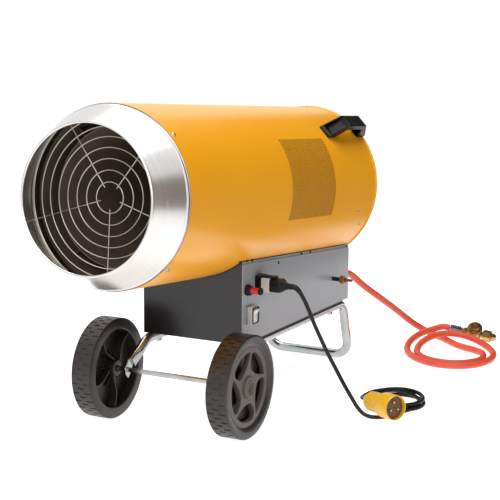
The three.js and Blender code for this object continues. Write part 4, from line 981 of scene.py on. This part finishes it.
# %% Bent tube frame
TUBE_RADIUS = 0.010
BEND_RADIUS = 0.036
RAIL_X = 0.100


def bent_route(corners, bend, steps=12):
    """Straight runs between corners, with an arc at each corner. The first and last runs get points of their
    own, so that the tube can flatten there."""
    route = [corners[0].lerp(corners[1], share / 6) for share in range(4)]
    for before, corner, after in zip(corners, corners[1:], corners[2:]):
        back = (before - corner).normalized()
        on = (after - corner).normalized()
        half = back.angle(on) / 2
        start = corner + back * bend / math.tan(half)
        centre = corner + (back + on).normalized() * bend / math.sin(half)
        axis = (start - centre).cross(corner - centre).normalized()
        for i in range(steps + 1):
            turn = Matrix.Rotation((math.pi - 2 * half) * i / steps, 3, axis)
            route.append(centre + turn @ (start - centre))
    tail = [corners[-1].lerp(corners[-2], share / 6) for share in range(4)]
    return route + tail[::-1]


def frame_side(x):
    """One side's corners: at the axle, under the box's front and rear, and on the floor behind."""
    drop = TUBE_RADIUS + 0.0003
    return [machine_place @ Vector((x, 0.232, 0.112)), box_place @ Vector((x, -0.006, -drop)),
            box_place @ Vector((x, 0.498, -drop)), machine_place @ Vector((x, 0.830, TUBE_RADIUS - 0.001))]


tube_route = bent_route([*frame_side(RAIL_X), *frame_side(-RAIL_X)[::-1]], BEND_RADIUS)


def tube_section(share):
    """Round along the frame, and pressed flat over the last stretch at both ends."""
    from_end = min(share, 1 - share) * len(tube_route)
    flat = 1 - smoothstep(from_end, 0.5, 3.5)
    return oval(TUBE_RADIUS + 0.003 * flat, TUBE_RADIUS - 0.0065 * flat, 24)


tube_mesh = swept(tube_route, tube_section, up=(1, 0, 0))
for vertex in tube_mesh.vertices:
    vertex.co.z = max(vertex.co.z, 0.0001)
settle("trolley_tube", tube_mesh, zinc_plate, ROOT, replaced=["base_frame"])
print("frame tube is", round(route_length(tube_route), 3), "m along its middle")

# %% Axle lugs, axle and bolts
# The pointed lug's outline about the axle, as distances back and up.
LUG = [(-0.011, 0.005), (0.002, 0.020), (0.026, 0.026), (0.030, 0.016), (0.014, 0.002), (0.008, -0.008),
       (0.000, -0.017), (-0.008, -0.008)]


def axle_lug(sign):
    """A flat plate beside the tube's end, on the right or the left. Its thickness lies along X."""
    middle = sign * (RAIL_X + 0.004)
    outline = [(AXLE_Y + y, WHEEL_RADIUS + z) for y, z in LUG]
    facing = Matrix(((0, 1, 0, 0), (1, 0, 0, 0), (0, 0, 1, 0), (0, 0, 0, 1)))
    return stamped(outline, middle - 0.003, middle + 0.003, facing)


for side, sign in (("right", 1), ("left", -1)):
    settle(f"axle_lug_{side}", axle_lug(sign), zinc_plate, ROOT, 0.0012)
refined("axle", zinc_plate, 0.0006)
for i in range(4):
    refined(f"frame_bolt_{i + 1}", zinc_plate, 0.0005)
print("two lugs, the axle and four bolts hold the frame together")

# %% [markdown]
# ## Controls and the gas line
# On the panel are a piezo igniter with a red button, a rocker switch in a pale bezel, a mains inlet, and
# the safety valve's push rod with its brass nut. Small parts like these are read by their edges, so they
# keep the CAD shape with rounded edges, and the turned ones are turned again with more steps.

# %% Controls
for node, material, edge in (
        ("igniter_body", black_plastic, 0.0005), ("rocker_housing", pale_plastic, 0.0008),
        ("rocker", white_plastic, 0.0008), ("inlet_housing", black_plastic, 0.0008),
        ("inlet_shell", pale_plastic, 0.0010), ("inlet_latch", black_plastic, 0.0006),
        ("gas_valve", black_screw, 0.0006), ("valve_nut", aged_brass, 0.0006),
        ("gas_inlet", brass_metal, 0.0005), ("inlet_pipe", copper_tube, 0.0),
        ("burner_pipe", copper_tube, 0.0)):
    refined(node, material, edge)
print("the controls and the gas line are dressed")


# %% Switch frame (black, painted shade), ignition button and push rod
def on_box(x, y, z):
    """A place on the box, measured from its front wall's lower edge."""
    return box_place @ Vector((x, y, z))


def frame_ring(outer, inner, low, high, matrix):
    """A rounded rectangular ring, as (half width, half height) outside and inside."""
    rims = [[(a, y, b) for a, b in oval(*half, 32, 0.3)] for half, y in
            ((outer, low), (outer, high), (inner, high), (inner, low))]
    return mesh_of([point for rim in rims for point in rim], ring_faces(4, 32, True), matrix)


switch_line = along(on_box(0, 0.034, 0.054), (1, 0, 0))
# Painted shade: a black frame round the pale bezel, standing for the bezel's shaded side wall.
switch_shade_frame = frame_ring((0.0138, 0.0168), (0.0105, 0.0152), PANEL_FACE + 0.0102, PANEL_FACE + 0.0124,
                          switch_line)
settle("rocker_frame_painted_shade", switch_shade_frame, black_plastic, ROOT, 0.0004)

button_line = along(on_box(0, 0.018, 0.106), (1, 0, 0))
button_end = PANEL_FACE + 0.033
red_end = button_end - 0.0062
red_profile = [(0, PANEL_FACE), (0.0064, PANEL_FACE), (0.0064, red_end), (0, red_end)]
settle("igniter_red_button", turned(red_profile, button_line, 40), red_plastic, "igniter_button", 0.0004,
       ["igniter_button"])
end_profile = [(0, button_end - 0.0060), (0.0060, button_end - 0.0060), (0.0072, button_end - 0.0048),
               (0.0072, button_end - 0.0012), (0.0062, button_end - 0.0002), (0.0035, button_end - 0.0008),
               (0, button_end - 0.0008)]
settle("igniter_button_end", turned(end_profile, button_line, 40), black_plastic, "igniter_button")

valve_line = along(on_box(0, 0.420, 0.058), (1, 0, 0))
rod_start, rod_end = PANEL_FACE + 0.0100, PANEL_FACE + 0.0465
rod_profile = [(0, rod_start), (0.0030, rod_start), (0.0030, rod_end - 0.0030), (0.0024, rod_end - 0.0008),
               (0.0012, rod_end), (0, rod_end)]
settle("valve_red_rod", turned(rod_profile, valve_line, 32), dark_red_plastic, "valve_push_rod",
       replaced=["valve_push_rod"])
print("button stands", round(1000 * (button_end - PANEL_FACE)), "mm and rod",
      round(1000 * (rod_end - PANEL_FACE)), "mm out of the panel")

# %% [markdown]
# ## The lead's two ends
# The lead enters its connector through a moulded hood that tapers onto it, with a soft strain relief that
# thins over its last stretch. At the far end is a three-pin industrial plug: a gland nut, a ribbed yellow
# body that widens into its collar, and a brown insert with brass pins.

# %% Connector hood and strain relief
SOCKET = on_box(0, 0.066, 0.111)
HOOD_START = PANEL_FACE + 0.0308
HOOD_END = PANEL_FACE + 0.0635
RELIEF_RADII = (0.0064, 0.0045)


def hood_section(share):
    """Nearly square where it meets the connector, and round where the lead leaves."""
    squeeze = smoothstep(share, 0.62, 1.0)
    return oval(0.0138 - 0.0072 * squeeze, 0.0129 - 0.0058 * squeeze, 32, 0.35 + 0.5 * squeeze)


def relief_section(share):
    """Thick where it leaves the hood, and thinned to the lead along its length."""
    radius = RELIEF_RADII[0] + (RELIEF_RADII[1] - RELIEF_RADII[0]) * share
    return oval(radius, radius, 24)


hood_axis = [SOCKET + Vector((HOOD_START + (HOOD_END - HOOD_START) * i / 16, 0, 0)) for i in range(17)]
hood = settle("connector_moulded_hood", swept(hood_axis, hood_section), black_plastic, ROOT, 0.0008,
              ["connector_hood"])
relief_route = [hood_axis[-1] - Vector((0.002, 0, 0)), hood_axis[-1] + Vector((0.003, 0, 0)), *lead_route[:7]]
relief = settle("lead_strain_relief", swept(relief_route, relief_section), black_rubber, ROOT)
print("strain relief is", round(route_length(relief_route), 3), "m long")

# %% Industrial plug
PLUG_LENGTH = (PLUG_MOUTH - PLUG_HEEL).length
plug_place = along(PLUG_HEEL, plug_axis)
gland_profile = [(0, 0), (0.0082, 0), (0.0100, 0.0006), (0.0128, 0.0030), (0.0130, 0.0088), (0.0150, 0.0094),
                 (0.0155, 0.0102), (0.0155, 0.0117), (0, 0.0117)]
gland = settle("plug_gland_nut", turned(gland_profile, plug_place, 72, flutes=(18, 0.0009, 0.002, 0.009)),
               pale_plastic, ROOT, 0.0002, ["plug_gland"])
barrel = [(0, 0.0121), (0.0160, 0.0121), (0.0180, 0.0128), (0.0196, 0.0160), (0.0200, 0.0180),
          (0.0200, 0.0480), (0.0206, 0.0500), (0.0222, 0.0540), (0.0242, 0.0568), (0.0249, 0.0590)]
# The collar and the mouth are measured back from the plug's open end.
collar = [(0.0250, 0.0040), (0.0246, 0.0010), (0.0238, 0), (0.0230, 0.0008), (0.0226, 0.0030),
          (0.0226, 0.0298), (0.0204, 0.0298), (0.0204, 0.0338), (0, 0.0338)]
body_profile = [*barrel, *[(radius, PLUG_LENGTH - back) for radius, back in collar]]
plug = settle("plug_yellow_body", turned(body_profile, plug_place, 144, flutes=(24, 0.0006, 0.017, 0.049)),
              yellow_plastic, ROOT, replaced=["plug_body"])
print("plug is", round(PLUG_LENGTH, 3), "m long")

# %% Plug insert and pins
INSERT_PLACE = PLUG_LENGTH - 0.034
CARRIER_END = PLUG_LENGTH - 0.0082
PIN_END = PLUG_LENGTH - 0.0036
insert_profile = [(radius, INSERT_PLACE + y) for radius, y in
                  ((0, 0.0003), (0.0199, 0.0003), (0.0199, 0.0112), (0.0190, 0.0120), (0, 0.0120))]
insert = settle("plug_brown_insert", turned(insert_profile, plug_place, 64), brown_plastic, ROOT,
                replaced=["plug_insert"])
carrier_start = INSERT_PLACE + 0.0125
carrier_profile = [(0, carrier_start), (0.0220, carrier_start), (0.0220, CARRIER_END - 0.0008),
                   (0.0212, CARRIER_END), (0, CARRIER_END)]
carrier = settle("plug_contact_carrier", turned(carrier_profile, plug_place, 64), brown_plastic, ROOT)


def contact_pin(degrees, radius):
    """A round brass pin with a domed end."""
    start = INSERT_PLACE + 0.0115
    profile = [(0, start), (radius, start), (radius, PIN_END - radius * 0.8),
               (radius * 0.8, PIN_END - radius * 0.3), (radius * 0.4, PIN_END), (0, PIN_END)]
    angle = math.radians(degrees)
    offset = Matrix.Translation((0.010 * math.cos(angle), 0, 0.010 * math.sin(angle)))
    return turned(profile, plug_place @ offset, 24)


pins = [settle(f"plug_pin_{i + 1}", contact_pin(degrees, 0.0032 if i == 0 else 0.0025), brass_metal, ROOT)
        for i, degrees in enumerate((90, 210, 330))]
print(len(pins), "pins stand", round(1000 * (PLUG_LENGTH - PIN_END), 1), "mm inside the collar's mouth")

# %% The lead and its ends
print("lead and its two ends are built")

# %% [markdown]
# ## The hose's two ends
# A hexagon nut holds the hose on the inlet, with a crimped sleeve behind it. At the far end is a crimped
# steel ferrule, then the brass regulator with its round bonnet tipped to the front, and the bottle nut. A
# regulator is mostly lathe work, so its pieces are profiles turned about two axes.

# %% Inlet nut
def hexagon(radius, low, high, matrix):
    """A six-sided nut along the matrix's Y axis."""
    corners = [math.radians(60 * i) for i in range(6)]
    return stamped([(radius * math.cos(a), radius * math.sin(a)) for a in corners], low, high, matrix)


REAR_WALL = 0.502
inlet_line = box_place @ Matrix.Translation((0.084, 0, 0.0445))
nut_start = REAR_WALL + 0.0063
sleeve_end = REAR_WALL + 0.0338
sleeve_waves = [(0.0088, 0.014), (0.0095, 0.0155), (0.0090, 0.018), (0.0095, 0.0205), (0.0090, 0.023)]
sleeve_profile = [(0, nut_start + 0.014), *[(radius, nut_start + y) for radius, y in sleeve_waves],
                  (0.0092, sleeve_end), (0, sleeve_end)]
hose_nut_parts = [hexagon(0.012, nut_start, nut_start + 0.0145, inlet_line),
                  turned(sleeve_profile, inlet_line, 40)]
hose_nut = settle("hose_inlet_nut", joined(hose_nut_parts), brass_metal, ROOT, 0.0006, ["hose_nut"])
print("nut and sleeve are", round(1000 * (sleeve_end - nut_start), 1), "mm long")

# %% Ferrule
regulator_line = along(REGULATOR_START, regulator_axis)
ferrule_profile = [(0, 0.0003), (0.0086, 0.0003), (0.0090, 0.0010)]
for i in range(4):
    ferrule_profile += [(radius, y + 0.0055 * i) for radius, y in
                        ((0.0090, 0.0030), (0.0082, 0.0040), (0.0082, 0.0052), (0.0090, 0.0062))]
ferrule_profile += [(0.0090, 0.0240), (0.0074, 0.0262), (0.0070, 0.0278), (0, 0.0278)]
ferrule = settle("hose_crimped_ferrule", turned(ferrule_profile, regulator_line, 48), zinc_plate, ROOT,
                 replaced=["hose_ferrule"])
print("ferrule profile has", len(ferrule_profile), "points")

# %% Regulator and bottle nut
tipped = Vector((0, -0.6, 0.8))
bonnet_axis = (tipped - tipped.dot(regulator_axis) * regulator_axis).normalized()
bonnet_line = along(REGULATOR_START + regulator_axis * 0.062, bonnet_axis, (1, 0, 0))
line_profile = [(0, 0.0283), (0.0060, 0.0283), (0.0060, 0.0325), (0.0070, 0.0330), (0.0090, 0.0345),
                (0.0090, 0.0405), (0.0066, 0.0420), (0.0065, 0.0490), (0.0080, 0.0500), (0.0118, 0.0520),
                (0.0120, 0.0535), (0.0120, 0.0725), (0.0112, 0.0745), (0.0070, 0.0760), (0.0070, 0.0895),
                (0, 0.0895)]
chamber_profile = [(0, 0), (0.0148, 0), (0.0158, 0.0012), (0.0160, 0.0030), (0.0160, 0.0118),
                   (0.0152, 0.0130), (0, 0.0130)]
regulator_parts = [turned(line_profile, regulator_line, 48), turned(chamber_profile, bonnet_line, 64)]
regulator = settle("regulator_brass_body", joined(regulator_parts), brass_metal, ROOT,
                   replaced=["regulator_body"])
bonnet_profile = [(0, 0.0133), (0.0172, 0.0133), (0.0180, 0.0140), (0.0180, 0.0205), (0.0172, 0.0216),
                  (0.0145, 0.0224), (0.0128, 0.0236), (0.0112, 0.0285), (0.0098, 0.0297), (0.0050, 0.0300),
                  (0.0040, 0.0290), (0, 0.0290)]
bonnet_shape = turned(bonnet_profile, bonnet_line, 96, flutes=(24, 0.0009, 0.0134, 0.0212))
bonnet = settle("regulator_round_bonnet", bonnet_shape, aged_brass, ROOT, replaced=["regulator_cap"])
spigot_profile = [(0, 0.1000), (0.0085, 0.1000), (0.0090, 0.1010), (0.0090, 0.1070), (0.0070, 0.1100),
                  (0.0050, 0.1128), (0, 0.1128)]
nut_parts = [hexagon(0.0139, 0.0811, 0.1008, regulator_line), turned(spigot_profile, regulator_line, 40)]
bottle_nut = settle("bottle_left_hand_nut", joined(nut_parts), brass_metal, "bottle_nut", 0.0006,
                    ["bottle_nut"])
print("bonnet leans along", [round(v, 2) for v in bonnet_axis])

# %% The hose and its ends
print("hose and its two ends are built")

# %% [markdown]
# ## The studio
# The photograph has no horizon: the floor and the background are one white. Here the floor and the world
# are white to the camera and in reflections, while the lamps stay soft and plain. A photographer also stands
# cards around the set, out of the picture, that only shiny surfaces show. The rear and low cards give the
# enamel its deeper middle and lower side, and the brown side card gives the spun metal its band.

# %% White paper floor
GLOW_SEEN = 0.92  # to the camera and in reflections, where it must match the background
GLOW_SHED = 0.8  # to everything else, as the paper lights the machine from below


def stage_plane(name, size, place, facing, material):
    """A flat rectangle of the set, which isn't part of the machine."""
    mesh = bpy.data.meshes.new(name)
    w, h = size[0] / 2, size[1] / 2
    mesh.from_pydata([(-w, -h, 0), (w, -h, 0), (w, h, 0), (-w, h, 0)], [], [(0, 1, 2, 3)])
    mesh.materials.append(material)
    plane = new_object(name, mesh)
    plane.location = place
    aim(plane, facing, "Z")
    return plane


def seen_ray(tree):
    """1 for rays from the camera, in reflections and through glass, and 0 for the rest."""
    rays = add_node(tree, "ShaderNodeLightPath")
    total = rays.outputs["Is Camera Ray"]
    for name in ("Is Glossy Ray", "Is Transmission Ray"):
        either = add_node(tree, "ShaderNodeMath", {0: total, 1: rays.outputs[name]}, operation="MAXIMUM")
        total = either.outputs[0]
    return total


def studio_floor():
    """White paper that glows as white as the background, and still takes the machine's soft shadow."""
    material, tree, shader, _ = start_material("white_studio_paper", Roughness=0.9, Specular_IOR_Level=0.1)
    shader.inputs["Base Color"].default_value = colour("cfcfcf")
    shader.inputs["Emission Color"].default_value = colour("ffffff")
    lift = add_node(tree, "ShaderNodeMapRange", {
        "Value": seen_ray(tree), "To Min": GLOW_SHED, "To Max": GLOW_SEEN})
    tree.links.new(lift.outputs["Result"], shader.inputs["Emission Strength"])
    return material


stage_plane("studio_floor", (60, 60), (0, 0, 0), (0, 0, 1), studio_floor())
print("floor laid")

# %% Cards and world
for name, shade, size, place, facing in (
        ("rear_card", "2a2a2a", (5.0, 2.5), (1.3, 2.9, 1.26), (-0.40, -0.90, 0.0)),
        ("low_card", "2a2a2a", (4.2, 4.5), (2.3, 2.35, 0.2), (0, 0, 1)),
        ("side_card", "84746c", (2.3, 1.56), (2.5, 0.9, 0.79), (-0.93, -0.2, 0.0))):
    card_paper, _, card_shader, _ = start_material(f"{name}_paper", Roughness=0.9)
    card_shader.inputs["Base Color"].default_value = colour(shade)
    card = stage_plane(name, size, place, facing, card_paper)
    card.visible_camera = False
    card.visible_diffuse = False
    card.visible_shadow = False

AMBIENT = 0.09
world = bpy.data.worlds.new("studio")
bpy.context.scene.world = world
world.use_nodes = True
air = world.node_tree.nodes["Background"]
air.inputs["Color"].default_value = (1, 1, 1, 1)
level = add_node(world.node_tree, "ShaderNodeMapRange", {
    "Value": seen_ray(world.node_tree), "To Min": AMBIENT, "To Max": 1.0})
world.node_tree.links.new(level.outputs["Result"], air.inputs["Strength"])
print("world lights the shade at", AMBIENT)

# %% Lamps
def softbox(name, place, target, size, power):
    """A rectangular lamp that faces a target. The larger it is, the softer its edge of shade."""
    data = bpy.data.lights.new(name, "AREA")
    data.shape = "RECTANGLE"
    data.size, data.size_y = size
    data.energy = power
    lamp = new_object(name, data)
    lamp.location = place
    aim(lamp, Vector(target) - Vector(place))


softbox("overhead_softbox", (0.1, 0.1, 2.6), (0, 0.1, 0.3), (2.4, 2.4), 64)
softbox("front_softbox", (0.6, -3.0, 1.8), (0, -0.1, 0.35), (1.6, 1.6), 31)
bpy.context.scene.view_settings.view_transform = "Standard"
print(len(bpy.data.lights), "lamps")
